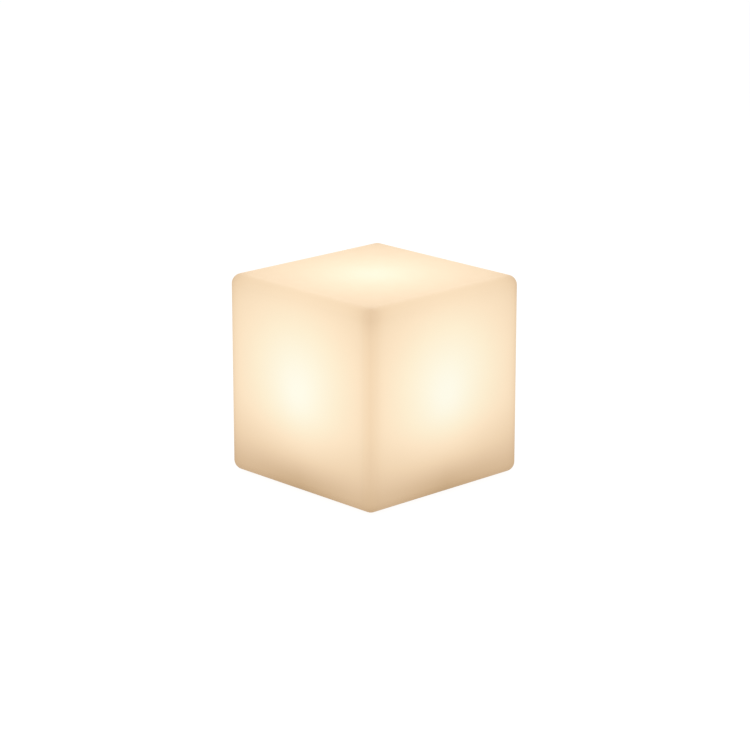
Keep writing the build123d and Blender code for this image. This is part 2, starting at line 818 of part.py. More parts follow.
    # Screw holes.
    with BuildSketch(Plane.XY.offset(cover_bottom)):
        with PolarLocations(cover_screw_circle, cover_screw_count, cover_screw_angle):
            Circle(m3_radius + thread_gap)
    extrude(amount=-m3_length, mode=Mode.SUBTRACT)
    with BuildSketch(Plane.XY.offset(tray_bottom)):
        with GridLocations(2 * tray_post_x, 2 * tray_post_y, 2, 2):
            Circle(m3_radius + thread_gap)
    extrude(amount=-m3_length, mode=Mode.SUBTRACT)
    with BuildSketch(Plane.XY.offset(board_bottom)):
        with GridLocations(2 * board_post_x, 2 * board_post_y, 2, 2):
            Circle(small_radius + thread_gap)
    extrude(amount=-small_length, mode=Mode.SUBTRACT)
    with BuildSketch(Plane.XY.offset(guide_bottom)):
        with GridLocations(2 * guide_post_x, 0, 2, 1):
            Circle(small_radius + thread_gap)
    extrude(amount=guide_thickness - small_length, mode=Mode.SUBTRACT)
save(unit_housing.part, "unit_housing")

# ---- Round seal in the drum's groove ----------------------------------------------
with BuildPart() as unit_seal:
    with Locations((0, 0, seal_z)):
        Torus(seal_outer - seal_section / 2, seal_section / 2)
save(unit_seal.part, "unit_seal")

# ---- Power button: cap, lip and stem in one ---------------------------------------
with BuildPart() as power_button:
    with BuildSketch(Plane.XY.offset(button_bottom)):
        Circle(button_radius)
    extrude(amount=button_lip_bottom - button_bottom)
    chamfer(power_button.edges().sort_by(Axis.Z)[0], length=button_edge)
    with BuildSketch(Plane.XY.offset(button_lip_bottom)):
        Circle(button_radius + button_lip)
    extrude(amount=button_lip_thickness)
    with BuildSketch(Plane.XY.offset(button_lip_top)):
        Circle(button_stem_radius)
    extrude(amount=stem_top - button_lip_top)
    # The power sign, a broken ring and a stroke, is sunk in the cap's face.
    with BuildSketch(Plane.XY.offset(button_bottom)):
        mark_start = 90 + button_mark_opening / 2
        add(
            ring_sector(
                button_mark_radius - button_mark_width,
                button_mark_radius,
                mark_start,
                360 - button_mark_opening,
            )
        )
        with Locations((0, button_mark_radius)):
            Rectangle(button_mark_width, button_mark_radius)
    extrude(amount=button_mark_depth, mode=Mode.SUBTRACT)
    with BuildSketch(Plane.XY.offset(button_seal_z - button_seal_groove / 2)):
        Circle(button_stem_radius)
        Circle(button_seal_outer - button_seal_section - thread_gap, mode=Mode.SUBTRACT)
    extrude(amount=button_seal_groove, mode=Mode.SUBTRACT)
save(power_button.part, "power_button")

# ---- Small seal round the button's stem -------------------------------------------
with BuildPart() as button_seal:
    with Locations((0, 0, button_seal_z)):
        Torus(button_seal_outer - button_seal_section / 2, button_seal_section / 2)
save(button_seal.part, "button_seal")

# ---- Return spring between the button's lip and its guide -------------------------
with BuildPart() as button_spring:
    spring_rise = spring_room - 2 * (spring_wire + spring_end_gap)
    with BuildLine(Plane.XY.offset(button_lip_top + spring_wire + spring_end_gap)) as coil:
        Helix(spring_rise / spring_turns, spring_rise, spring_radius)
    with BuildSketch(Plane(origin=coil.line @ 0, z_dir=coil.line % 0)):
        Circle(spring_wire)
    sweep(path=coil.line, is_frenet=True)
save(button_spring.part, "button_spring")

# ---- Guide that the stem slides in, and its screws --------------------------------
with BuildPart() as button_guide:
    with BuildSketch(Plane.XY.offset(guide_bottom)):
        SlotOverall(2 * (guide_post_x + guide_lug_radius), 2 * guide_lug_radius)
        Circle(guide_disc_radius)
    extrude(amount=guide_thickness)
    with BuildSketch(Plane.XY.offset(guide_top)):
        Circle(guide_bore + guide_sleeve_wall)
    extrude(amount=guide_sleeve_height)
    with BuildSketch(Plane.XY.offset(guide_bottom)):
        Circle(guide_bore)
        with GridLocations(2 * guide_post_x, 0, 2, 1):
            Circle(small_radius + thread_gap)
    extrude(amount=sleeve_top - guide_bottom, mode=Mode.SUBTRACT)
save(button_guide.part, "button_guide")

small_screw = pan_screw(small_radius, small_length, small_head, small_head_height)
with BuildPart() as guide_screws:
    with Locations((0, 0, guide_top)):
        with GridLocations(2 * guide_post_x, 0, 2, 1):
            add(small_screw)
save(guide_screws.part, "guide_screws")

# ---- Push switch under the control board, and its plunger -------------------------
with BuildPart() as push_switch:
    with BuildSketch(Plane.XY.offset(switch_bottom)):
        Rectangle(switch_side, switch_side)
    extrude(amount=switch_height)
    with BuildSketch(Plane.XY.offset(switch_bottom)):
        Circle(plunger_radius + plunger_gap)
    extrude(amount=switch_height - switch_cap, mode=Mode.SUBTRACT)
save(push_switch.part, "push_switch")

with BuildPart() as switch_plunger:
    with BuildSketch(Plane.XY.offset(stem_top)):
        Circle(plunger_radius)
    extrude(amount=switch_bottom + plunger_grip - stem_top)
save(switch_plunger.part, "switch_plunger")

# ---- Control board, its screws and its components ---------------------------------
with BuildPart() as control_board:
    with BuildSketch(Plane.XY.offset(board_bottom)):
        RectangleRounded(board_length, board_width, board_corner)
        with GridLocations(2 * board_post_x, 2 * board_post_y, 2, 2):
            Circle(small_radius + 2 * thread_gap, mode=Mode.SUBTRACT)
    extrude(amount=board_thickness)
save(control_board.part, "control_board")

with BuildPart() as board_screws:
    with Locations((0, 0, board_top)):
        with GridLocations(2 * board_post_x, 2 * board_post_y, 2, 2):
            add(small_screw)
save(board_screws.part, "board_screws")

chips = [
    (charge_chip, charge_chip_place),
    (timer_chip, timer_chip_place),
    (driver_chip, driver_chip_place),
]
with BuildPart() as driver_chips:
    for (chip_x, chip_y, chip_height), chip_place in chips:
        with BuildSketch(Plane.XY.offset(board_top)):
            with Locations(chip_place):
                Rectangle(chip_x, chip_y)
        extrude(amount=chip_height)
save(driver_chips.part, "driver_chips")

with BuildPart() as board_inductor:
    with BuildSketch(Plane.XY.offset(board_top)):
        with Locations(inductor_place):
            RectangleRounded(inductor_side, inductor_side, inductor_corner)
    extrude(amount=inductor_height)
save(board_inductor.part, "board_inductor")

with BuildPart() as board_capacitors:
    with BuildSketch(Plane.XY.offset(board_top)):
        with Locations(capacitor_places):
            Circle(capacitor_radius)
    extrude(amount=capacitor_height)
save(board_capacitors.part, "board_capacitors")

plug_places = {"led": 0, "battery": battery_plug_x}
for plug_name, place_x in plug_places.items():
    with BuildPart() as socket_box:
        with Locations((place_x, 0, board_top)):
            add(plug_socket())
    save(socket_box.part, f"{plug_name}_socket")
    with BuildPart() as plug_body:
        with Locations((place_x, 0, board_top)):
            add(wire_plug())
    save(plug_body.part, f"{plug_name}_plug")

# ---- Charging socket: metal nose, plastic core with its tongue, and gasket --------
with BuildPart() as charge_socket:
    with BuildSketch(Plane.XY.offset(nose_bottom)):
        with Locations((port_x, 0)):
            add(nose_outline(0))
            add(nose_outline(-nose_wall), mode=Mode.SUBTRACT)
    extrude(amount=nose_top - nose_bottom)
save(charge_socket.part, "charge_socket")

with BuildPart() as socket_core:
    with BuildSketch(Plane.XY.offset(socket_base_bottom)):
        with Locations((port_x, 0)):
            Rectangle(socket_base_x, socket_base_y)
    extrude(amount=socket_base_height)
    with BuildSketch(Plane.XY.offset(socket_base_bottom)):
        with Locations((port_x, 0)):
            add(nose_outline(thread_gap))
    extrude(amount=nose_top - socket_base_bottom, mode=Mode.SUBTRACT)
    with BuildSketch(Plane.XY.offset(core_face)):
        with Locations((port_x, 0)):
            add(nose_outline(-nose_wall - thread_gap))
    extrude(amount=nose_top - core_face)
    with BuildSketch(Plane.XY.offset(core_face)):
        with Locations((port_x, 0)):
            Rectangle(tongue_x, tongue_y)
    extrude(amount=-tongue_length)
save(socket_core.part, "socket_core")

with BuildPart() as socket_gasket:
    with BuildSketch(Plane.XY.offset(ceiling_top)):
        with Locations((port_x, 0)):
            add(nose_outline(socket_gasket_width))
            add(nose_outline(thread_gap), mode=Mode.SUBTRACT)
    extrude(amount=socket_base_bottom - ceiling_top)
save(socket_gasket.part, "socket_gasket")

# ---- Charging door, its hinge pin, and the soft plug on its inner side ------------
with BuildPart() as charge_door:
    plate_start = hinge_x + hinge_pocket
    with BuildSketch(Plane.XY.offset(door_bottom)):
        with Locations(((plate_start + door_end) / 2, 0)):
            Rectangle(door_end - plate_start, door_width)
    extrude(amount=door_thickness)
    free_corners = charge_door.edges().filter_by(Axis.Z).group_by(Axis.X)[-1]
    fillet(free_corners, radius=door_corner)
    with BuildSketch(Plane.XZ):
        with Locations((hinge_x, hinge_z)):
            Circle(hinge_radius)
        with Locations(((hinge_x + plate_start) / 2, (door_bottom + door_top) / 2)):
            Rectangle(plate_start - hinge_x, door_thickness)
        with Locations((hinge_x, hinge_z)):
            Circle(hinge_pin_radius + hinge_pin_gap, mode=Mode.SUBTRACT)
    extrude(amount=hinge_knuckle / 2, both=True)
save(charge_door.part, "charge_door")

with BuildPart() as hinge_pin:
    with BuildSketch(Plane.XZ):
        with Locations((hinge_x, hinge_z)):
            Circle(hinge_pin_radius)
    extrude(amount=door_width / 2, both=True)
save(hinge_pin.part, "hinge_pin")

with BuildPart() as door_plug:
    door_plug_x = port_pocket_x - 2 * door_plug_gap_x
    door_plug_y = port_pocket_y - 2 * door_plug_gap_y
    with BuildSketch(Plane.XY.offset(door_top)):
        with Locations((port_x, 0)):
            RectangleRounded(door_plug_x, door_plug_y, door_plug_x * port_rounding)
    extrude(amount=pocket_top - door_plug_end_gap - door_top)
    chamfer(door_plug.edges().group_by(Axis.Z)[-1], length=door_plug_chamfer)
save(door_plug.part, "door_plug")

# ---- Status light: a light pipe in the bar, and its lamp under the board ----------
with BuildPart() as light_pipe:
    with BuildSketch(Plane.XY.offset(unit_bottom + pipe_setback)):
        with Locations((status_x, 0)):
            Circle(pipe_radius)
    extrude(amount=pipe_top - unit_bottom - pipe_setback)
    with BuildSketch(Plane.XY.offset(status_boss_top)):
        with Locations((status_x, 0)):
            Circle(pipe_flange_radius)
    extrude(amount=pipe_flange)
save(light_pipe.part, "light_pipe")

with BuildPart() as status_led:
    with Locations((status_x, 0, status_led_shoulder)):
        Sphere(status_led_radius)
    with BuildSketch(Plane.XY.offset(status_led_shoulder)):
        with Locations((status_x, 0)):
            Circle(status_led_radius)
    extrude(amount=status_led_body)
    with BuildSketch(Plane.XY.offset(board_bottom)):
        with Locations((status_x, 0)):
            Circle(status_led_radius + status_led_rim)
    extrude(amount=-status_led_rim_height)
save(status_led.part, "status_led")

# ---- Battery tray with a cradle for two cells -------------------------------------
with BuildPart() as battery_tray:
    with BuildSketch(Plane.XY.offset(tray_bottom)):
        RectangleRounded(2 * tray_half, tray_width, tray_corner)
    extrude(amount=tray_plate)
    with BuildSketch(Plane.XY.offset(tray_top)):
        Rectangle(2 * tray_half, cradle_width)
    extrude(amount=cradle_top - tray_top)
    with BuildSketch(Plane.XY.offset(tray_top)):
        with GridLocations(tray_wall_x + tray_half, 0, 2, 1):
            Rectangle(tray_wall, cradle_width)
    extrude(amount=cell_z + terminal_radius - tray_top)
    with BuildSketch(Plane.YZ):
        with Locations((-cell_y, cell_z), (cell_y, cell_z)):
            Circle(cell_radius + cell_gap)
    extrude(amount=tray_wall_x, both=True, mode=Mode.SUBTRACT)
    # A slot for the lamp's wires, screw holes, and notches for the battery's wires.
    with BuildSketch(Plane.XY.offset(tray_bottom)):
        Rectangle(plug_x + 2 * tray_slot_gap, plug_y + 2 * tray_slot_gap)
        with GridLocations(2 * tray_post_x, 2 * tray_post_y, 2, 2):
            Circle(m3_radius + thread_gap)
    extrude(amount=cradle_top - tray_bottom, mode=Mode.SUBTRACT)
    with BuildSketch(Plane.YZ.offset(tray_wall_x)):
        with Locations((-cell_y, cell_z), (cell_y, cell_z)):
            Rectangle(wire_notch, 2 * terminal_radius)
    extrude(amount=tray_wall, mode=Mode.SUBTRACT)
save(battery_tray.part, "battery_tray")

m3_screw = pan_screw(m3_radius, m3_length, m3_head, m3_head_height)
with BuildPart() as tray_screws:
    with Locations((0, 0, tray_top)):
        with GridLocations(2 * tray_post_x, 2 * tray_post_y, 2, 2):
            add(m3_screw)
save(tray_screws.part, "tray_screws")

# ---- Two cells, head to tail, so that one strip joins them at an end --------------
for cell_name, head_side in (("battery_cell_front", 1), ("battery_cell_back", -1)):
    with BuildPart() as cell:
        with BuildSketch(Plane.YZ.offset(-head_side * cell_half)):
            with Locations((-head_side * cell_y, cell_z)):
                Circle(cell_radius)
        extrude(amount=head_side * (cell_length - terminal_height))
        fillet(cell.edges().filter_by(GeomType.CIRCLE), radius=cell_edge)
        with BuildSketch(Plane.YZ.offset(head_side * cell_half)):
            with Locations((-head_side * cell_y, cell_z)):
                Circle(terminal_radius)
        extrude(amount=-head_side * terminal_height)
    save(cell.part, cell_name)

with BuildPart() as battery_tabs:
    with BuildSketch(Plane.YZ.offset(cell_half)):
        with Locations((-cell_y, cell_z), (cell_y, cell_z)):
            Rectangle(tab_side, tab_side)
    extrude(amount=tab_thickness)
    with BuildSketch(Plane.YZ.offset(-cell_half)):
        with Locations((0, cell_z)):
            Rectangle(cell_spacing + tab_side, tab_side)
    extrude(amount=-tab_thickness)
save(battery_tabs.part, "battery_tabs")

# ---- Wires from the cells' tabs, round the tray's end, to the battery plug --------
tab_face = cell_half + tab_thickness
wire_bend_z = (cell_z + plug_top) / 2
with BuildPart() as battery_wires:
    for side in (-1, 1):
        plug_y_place = side * wire_pitch / 2
        battery_route = [
            (tab_face, side * cell_y, cell_z),
            (battery_plug_x, side * cell_y, cell_z),
            (battery_plug_x + wire_slack, side * cell_y * wire_spread, wire_bend_z + wire_slack),
            (battery_plug_x, plug_y_place, wire_bend_z),
            (battery_plug_x, plug_y_place, plug_top),
        ]
        add(wire(battery_route))
save(battery_wires.part, "battery_wires")

# ---- Cover of the drum, its gasket and its screws ---------------------------------
with BuildPart() as cover_gasket:
    with BuildSketch(Plane.XY.offset(housing_top)):
        Circle(unit_radius - cover_gasket_margin)
        Circle(inner_radius + cover_gasket_margin, mode=Mode.SUBTRACT)
    extrude(amount=cover_gasket_thickness)
save(cover_gasket.part, "cover_gasket")

with BuildPart() as unit_cover:
    with BuildSketch(Plane.XY.offset(cover_bottom)):
        Circle(unit_radius)
    extrude(amount=cover_thickness)
    chamfer(unit_cover.edges().sort_by(Axis.Z)[-1], length=cover_chamfer)
    with BuildSketch(Plane.XY.offset(cover_bottom)):
        Circle(spigot_radius)
        Circle(spigot_radius - spigot_wall, mode=Mode.SUBTRACT)
    extrude(amount=-spigot_height)
    with BuildSketch(Plane.XY.offset(cover_bottom)):
        with GridLocations(2 * cell_rib_x, 0, 2, 1):
            Rectangle(cell_rib_thickness, cradle_width)
    extrude(amount=cell_gap - cover_room)
    with BuildSketch(Plane.XY.offset(cover_bottom)):
        Circle(grommet_hole)
        with PolarLocations(cover_screw_circle, cover_screw_count, cover_screw_angle):
            Circle(m3_radius + thread_gap)
        with PolarLocations(stem_screw_circle, stem_screw_count):
            Circle(m3_radius + thread_gap)
    extrude(amount=cover_thickness, mode=Mode.SUBTRACT)
save(unit_cover.part, "unit_cover")

with BuildPart() as cover_screws:
    with Locations((0, 0, cover_top)):
        with PolarLocations(cover_screw_circle, cover_screw_count, cover_screw_angle):
            add(m3_screw)
save(cover_screws.part, "cover_screws")

# ---- Rubber grommet where the lamp's wires pass the cover -------------------------
with BuildPart() as grommet:
    with BuildSketch(Plane.XY.offset(cover_bottom - grommet_lip_height)):
        Circle(grommet_hole + grommet_lip)
    extrude(amount=cover_thickness + 2 * grommet_lip_height)
    with BuildSketch(Plane.XY.offset(cover_bottom)):
        Circle(grommet_hole + grommet_lip)
        Circle(grommet_hole - thread_gap, mode=Mode.SUBTRACT)
    extrude(amount=cover_thickness, mode=Mode.SUBTRACT)
    with BuildSketch(Plane.XY.offset(cover_bottom - grommet_lip_height)):
        Circle(grommet_bore)
    extrude(amount=cover_thickness + 2 * grommet_lip_height, mode=Mode.SUBTRACT)
save(grommet.part, "grommet")

# ---- Lamp stem: flange, tapered tube, and the plate under the lamp head -----------
stem_inner = stem_radius - stem_wall
with BuildPart() as stem_rib:
    with BuildSketch(Plane.XZ):
        with BuildLine():
            Polyline(
                (stem_radius - stem_wall / 2, cover_top + stem_flange / 2),
                (stem_flange_radius - stem_rib_inset, cover_top + stem_flange / 2),
                (stem_flange_radius - stem_rib_inset, cover_top + stem_flange),
                (stem_radius - stem_wall / 2, cover_top + stem_flange + stem_rib_height),
                close=True,
            )
        make_face()
    extrude(amount=stem_rib_thickness / 2, both=True)

with BuildPart() as lamp_stem:
    with BuildSketch(Plane.XZ):
        with BuildLine():
            Polyline(
                (stem_inner, cover_top),
                (stem_flange_radius, cover_top),
                (stem_flange_radius, cover_top + stem_flange),
                (stem_radius, cover_top + stem_flange),
                (stem_radius - stem_taper, head_bottom),
                (head_plate_radius, head_bottom),
                (head_plate_radius, head_top),
                (head_bore_radius, head_top),
                (head_bore_radius, head_bottom),
                (stem_inner - stem_taper, head_bottom),
                close=True,
            )
        make_face()
    revolve(axis=Axis.Z)
    with BuildSketch(Plane.XY.offset(cover_top)):
        with PolarLocations(stem_screw_circle, stem_screw_count):
            Circle(stem_boss_radius)
    extrude(amount=stem_flange + stem_boss_height)
    with PolarLocations(0, stem_screw_count, 180 / stem_screw_count):
        add(stem_rib.part)
    stem_hole_depth = m3_length - cover_thickness + stem_hole_over
    with BuildSketch(Plane.XY.offset(cover_top)):
        with PolarLocations(stem_screw_circle, stem_screw_count):
            Circle(m3_radius + thread_gap)
    extrude(amount=stem_hole_depth, mode=Mode.SUBTRACT)
    with BuildSketch(Plane.XY.offset(head_top)):
        with PolarLocations(heat_sink_screw_circle, heat_sink_screw_count):
            Circle(m3_radius + thread_gap)
        with PolarLocations(globe_screw_circle, globe_screw_count):
            Circle(small_radius + thread_gap)
    extrude(amount=-head_plate, mode=Mode.SUBTRACT)
save(lamp_stem.part, "lamp_stem")

with BuildPart() as stem_screws:
    with PolarLocations(stem_screw_circle, stem_screw_count):
        with Locations(Location((0, 0, cover_bottom), (180, 0, 0))):
            add(m3_screw)
save(stem_screws.part, "stem_screws")

# ---- Heat sink: a round foot and a square column that the LED boards sit on -------
with BuildPart() as heat_sink:
    with BuildSketch(Plane.XY.offset(head_top)):
        Rectangle(heat_sink_side, heat_sink_side)
    extrude(amount=column_top - head_top)
    chamfer(heat_sink.edges().filter_by(Axis.Z), length=heat_sink_chamfer)
    with BuildSketch(Plane.XY.offset(head_top)):
        Circle(heat_sink_foot_radius)
    extrude(amount=heat_sink_foot)
    with BuildSketch(Plane.XY.offset(head_top)):
        Circle(heat_sink_bore)
    extrude(amount=column_top - head_top, mode=Mode.SUBTRACT)
    with BuildSketch(Plane.XY.offset(head_top)):
        with PolarLocations(heat_sink_screw_circle, heat_sink_screw_count):
            Circle(m3_radius + thread_gap)
    extrude(amount=heat_sink_foot, mode=Mode.SUBTRACT)
save(heat_sink.part, "heat_sink")

short_screw = pan_screw(m3_radius, m3_short_length, m3_head, m3_head_height)
with BuildPart() as heat_sink_screws:
    with Locations((0, 0, heat_sink_foot_top)):
        with PolarLocations(heat_sink_screw_circle, heat_sink_screw_count):
            add(short_screw)
save(heat_sink_screws.part, "heat_sink_screws")

# ---- LED boards: one on each side of the column and one on its top ----------------
board_angles = {"front": 0, "right": 90, "back": 180, "left": 270}
for board_side, angle in board_angles.items():
    with BuildPart() as led_board:
        with BuildSketch(lamp_side(angle, heat_sink_side / 2)):
            Rectangle(led_board_width, led_board_height)
        extrude(amount=led_board_thickness)
    save(led_board.part, f"led_board_{board_side}")

with BuildPart() as led_board_top:
    with BuildSketch(Plane.XY.offset(column_top)):
        Rectangle(led_board_width, led_board_width)
        Circle(grommet_bore, mode=Mode.SUBTRACT)
    extrude(amount=led_board_thickness)
save(led_board_top.part, "led_board_top")

with BuildPart() as led_chips:
    for angle in board_angles.values():
        with BuildSketch(lamp_side(angle, heat_sink_side / 2 + led_board_thickness)):
            with GridLocations(led_column_pitch, led_row_pitch, led_columns, led_rows):
                Rectangle(led_width, led_height)
        extrude(amount=led_thickness)
    with BuildSketch(Plane.XY.offset(top_board_top)):
        with GridLocations(led_column_pitch, led_column_pitch, led_columns, led_columns):
            Rectangle(led_width, led_height)
    extrude(amount=led_thickness)
save(led_chips.part, "led_chips")

# ---- Milky globe over the LEDs, its clamping ring and the ring's screws -----------
globe_inner = globe_radius - globe_wall
neck_inner = globe_neck_radius - globe_wall
with BuildPart() as diffuser_globe:
    with BuildSketch(Plane.XZ):
        with BuildLine():
            outer_start = -degrees(acos(globe_neck_radius / globe_radius))
            inner_start = -degrees(acos(neck_inner / globe_inner))
            outside = CenterArc((0, lamp_z), globe_radius, outer_start, 90 - outer_start)
            inside = CenterArc((0, lamp_z), globe_inner, inner_start, 90 - inner_start)
            Line(outside @ 1, inside @ 1)
            Polyline(
                outside @ 0,
                (globe_neck_radius, globe_flange_top),
                (globe_flange_radius, globe_flange_top),
                (globe_flange_radius, head_top),
                (neck_inner, head_top),
                inside @ 0,
            )
        make_face()
    revolve(axis=Axis.Z)
save(diffuser_globe.part, "diffuser_globe")

with BuildPart() as globe_ring:
    with BuildSketch(Plane.XY.offset(head_top)):
        Circle(head_plate_radius)
        Circle(globe_flange_radius + globe_ring_gap, mode=Mode.SUBTRACT)
    extrude(amount=globe_ring_step - head_top)
    with BuildSketch(Plane.XY.offset(globe_ring_step)):
        Circle(head_plate_radius)
        Circle(globe_at_ring + globe_ring_clearance, mode=Mode.SUBTRACT)
    extrude(amount=globe_ring_lip)
    with BuildSketch(Plane.XY.offset(head_top)):
        with PolarLocations(globe_screw_circle, globe_screw_count):
            Circle(small_radius + thread_gap)
    extrude(amount=globe_ring_top - head_top, mode=Mode.SUBTRACT)
save(globe_ring.part, "globe_ring")

with BuildPart() as globe_ring_screws:
    with Locations((0, 0, globe_ring_top)):
        with PolarLocations(globe_screw_circle, globe_screw_count):
            add(small_screw)
save(globe_ring_screws.part, "globe_ring_screws")

# ---- Lamp wires: from the plug, between the cells, up the stem to the top board ---
cell_gap_top = cell_top - wire_slack
with BuildPart() as led_wires:
    for side in (-1, 1):
        wire_y = side * wire_pitch / 2
        lamp_route = [
            (0, wire_y, plug_top),
            (0, wire_y, plug_top + cell_radius / 2),
            (wire_slack, wire_y, cell_z),
            (0, wire_y, cell_gap_top),
            (0, wire_y, cover_top + 2 * grommet_lip_height),
            (-wire_slack, wire_y, (cover_top + head_bottom) / 2),
            (0, wire_y, head_bottom),
            (0, wire_y, top_board_top),
        ]
        add(wire(lamp_route))
save(led_wires.part, "led_wires")
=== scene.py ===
# %% [markdown]
# # A cube of light
#
# The object is a cordless garden light: a hollow cube of milky plastic, lit from inside by
# a round lamp on a drum. The drum holds the battery and hangs in a ring in the bottom. The
# solid model comes in as a fixed frame, where each part has its real place and size. Here
# the parts get their finishes, and the small signs, ribs and contacts that a mould or a
# printer adds are built as new surfaces.

import json
import math

import bmesh
import bpy
import numpy as np
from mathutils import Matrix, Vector


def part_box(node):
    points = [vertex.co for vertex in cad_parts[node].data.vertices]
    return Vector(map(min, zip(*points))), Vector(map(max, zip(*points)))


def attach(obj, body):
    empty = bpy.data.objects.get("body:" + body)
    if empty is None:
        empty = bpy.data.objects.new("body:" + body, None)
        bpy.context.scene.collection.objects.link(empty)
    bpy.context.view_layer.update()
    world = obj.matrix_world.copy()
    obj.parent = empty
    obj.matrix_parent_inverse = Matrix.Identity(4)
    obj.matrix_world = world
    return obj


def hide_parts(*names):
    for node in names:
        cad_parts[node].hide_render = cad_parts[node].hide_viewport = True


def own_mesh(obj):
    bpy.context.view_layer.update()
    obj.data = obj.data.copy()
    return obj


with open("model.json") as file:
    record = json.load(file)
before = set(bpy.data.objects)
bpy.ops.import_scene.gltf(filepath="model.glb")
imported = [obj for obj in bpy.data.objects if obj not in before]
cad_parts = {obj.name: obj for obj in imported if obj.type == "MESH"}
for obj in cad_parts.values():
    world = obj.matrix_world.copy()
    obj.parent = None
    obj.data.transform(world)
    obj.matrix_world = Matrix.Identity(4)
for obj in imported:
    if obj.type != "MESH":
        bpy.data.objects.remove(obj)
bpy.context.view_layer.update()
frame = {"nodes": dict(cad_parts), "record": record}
nodes = frame["nodes"]
MM = 0.001

# %% [markdown]
# ## The camera
#
# The photograph shows two upright faces of the cube and a little of its top, with almost
# no perspective. So the camera stands far away, 13.6 cube sides, with a long lens. Its
# angle could be found by eye, but straight edges are a better guide: the numbers here
# come from laying the outline of a rounded cube over the outline in the photograph.

# %% Camera at the photograph's angle
shell_low, shell_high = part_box("cube_shell")
cube_centre = (shell_low + shell_high) / 2
cube_size = shell_high - shell_low
azimuth, elevation = math.radians(46.43), math.radians(16.16)
DISTANCE_IN_SIDES = 13.56
SENSOR_WIDTH, LENS = 36.0, 134.0
distance = DISTANCE_IN_SIDES * cube_size.x
aim_right, aim_down = 0.78 * MM, 2.05 * MM

backwards = Vector((
    math.sin(azimuth) * math.cos(elevation),
    -math.cos(azimuth) * math.cos(elevation),
    math.sin(elevation),
))
turn = (-backwards).to_track_quat("-Z", "Y")
aim = cube_centre + turn @ Vector((aim_right, -aim_down, 0))

camera = bpy.data.objects.new("camera", bpy.data.cameras.new("camera"))
bpy.context.collection.objects.link(camera)
camera.data.sensor_width, camera.data.lens = SENSOR_WIDTH, LENS
camera.location = aim + backwards * distance
camera.rotation_mode = "QUATERNION"
camera.rotation_quaternion = turn
bpy.context.scene.camera = camera
bpy.context.scene.view_settings.view_transform = "Standard"
print("camera", round(distance, 3), "m from the cube's middle")

# %% [markdown]
# ## Building shaders in code
#
# A material is a graph of nodes. One helper adds a node and fills its sockets: a number
# or a colour is set on the socket, and another node's output is linked to it. A second
# one does arithmetic, and a third starts a node group, which is a formula with named
# inputs and outputs that several materials can share. A socket knows its own node tree,
# so the helpers find out where to put a new node.

# %% Helpers for shader graphs
def tree_of(values):
    """The node tree of the first value that is another node's output."""
    return next(value.id_data for value in values if isinstance(value, bpy.types.NodeSocket))


def put(kind, tree=None, **sockets):
    """Adds a node."""
    node = (tree or tree_of(sockets.values())).nodes.new("ShaderNode" + kind)
    fill_named(node, sockets)
    return node


def fill(socket, value):
    """Links an output to a socket, or sets the socket's own value."""
    if isinstance(value, bpy.types.NodeSocket):
        socket.id_data.links.new(value, socket)
    elif isinstance(value, tuple) and len(value) == 3 and socket.type == "RGBA":
        socket.default_value = (*value, 1.0)
    else:
        socket.default_value = value


def fill_named(node, sockets):
    """Fills sockets by name. A name is written with _ for a space."""
    for name, value in sockets.items():
        fill(node.inputs[name.replace("_", " ")], value)


def fill_in_order(node, values):
    """Fills a node's sockets from the first on."""
    for socket, value in zip(node.inputs, values):
        fill(socket, value)


def calc(operation, *values, clamp=False):
    """One step of arithmetic on numbers."""
    node = tree_of(values).nodes.new("ShaderNodeMath")
    node.operation, node.use_clamp = operation, clamp
    fill_in_order(node, values)
    return node.outputs[0]


def step_of(operation):
    """A helper for one kind of step, so that it reads as times(a, b)."""
    return lambda first, second: calc(operation, first, second)


times, plus, minus = step_of("MULTIPLY"), step_of("ADD"), step_of("SUBTRACT")
divided, larger, smaller = step_of("DIVIDE"), step_of("MAXIMUM"), step_of("MINIMUM")


def vector_calc(operation, *values):
    """One step of arithmetic on vectors. LENGTH and DISTANCE give a number."""
    node = tree_of(values).nodes.new("ShaderNodeVectorMath")
    node.operation = operation
    fill_in_order(node, values)
    return node.outputs["Value" if operation in ("LENGTH", "DISTANCE") else "Vector"]


def parts(vector):
    """The x, y and z of a vector, as three numbers."""
    return put("SeparateXYZ", Vector=vector).outputs


def between(value, low, high, out_low=0.0, out_high=1.0):
    """Eases from one number to another while a value goes from low to high."""
    ends = {"From_Min": low, "From_Max": high, "To_Min": out_low, "To_Max": out_high}
    node = put("MapRange", Value=value, **ends)
    node.interpolation_type = "SMOOTHSTEP"
    return node.outputs["Result"]


# The Mix node has several sockets named A, B and Result: these are the colour ones.
COLOUR_A, COLOUR_B, COLOUR_OUT = 6, 7, 2


def mixed(share, first, second):
    """A colour between two others."""
    node = tree_of((share, first, second)).nodes.new("ShaderNodeMix")
    node.data_type = "RGBA"
    fill(node.inputs["Factor"], share)
    fill(node.inputs[COLOUR_A], first)
    fill(node.inputs[COLOUR_B], second)
    return node.outputs[COLOUR_OUT]


def new_group(name, inputs, outputs):
    """An empty node group. Its first input is always the place on the object, the others
    are (name, default), and its outputs are names of numbers."""
    tree = bpy.data.node_groups.new(name, "ShaderNodeTree")
    for label, default in [("Position", (0.0, 0.0, 0.0))] + inputs:
        kind = "NodeSocketVector" if isinstance(default, tuple) else "NodeSocketFloat"
        tree.interface.new_socket(label, in_out="INPUT", socket_type=kind).default_value = default
    for label in outputs:
        tree.interface.new_socket(label, in_out="OUTPUT", socket_type="NodeSocketFloat")
    return tree, tree.nodes.new("NodeGroupInput").outputs, tree.nodes.new("NodeGroupOutput").inputs


def place_group(group, position, **sockets):
    """Puts a group into a material, with its own values."""
    node = position.id_data.nodes.new("ShaderNodeGroup")
    node.node_tree = group
    fill_named(node, {"Position": position, **sockets})
    return node.outputs


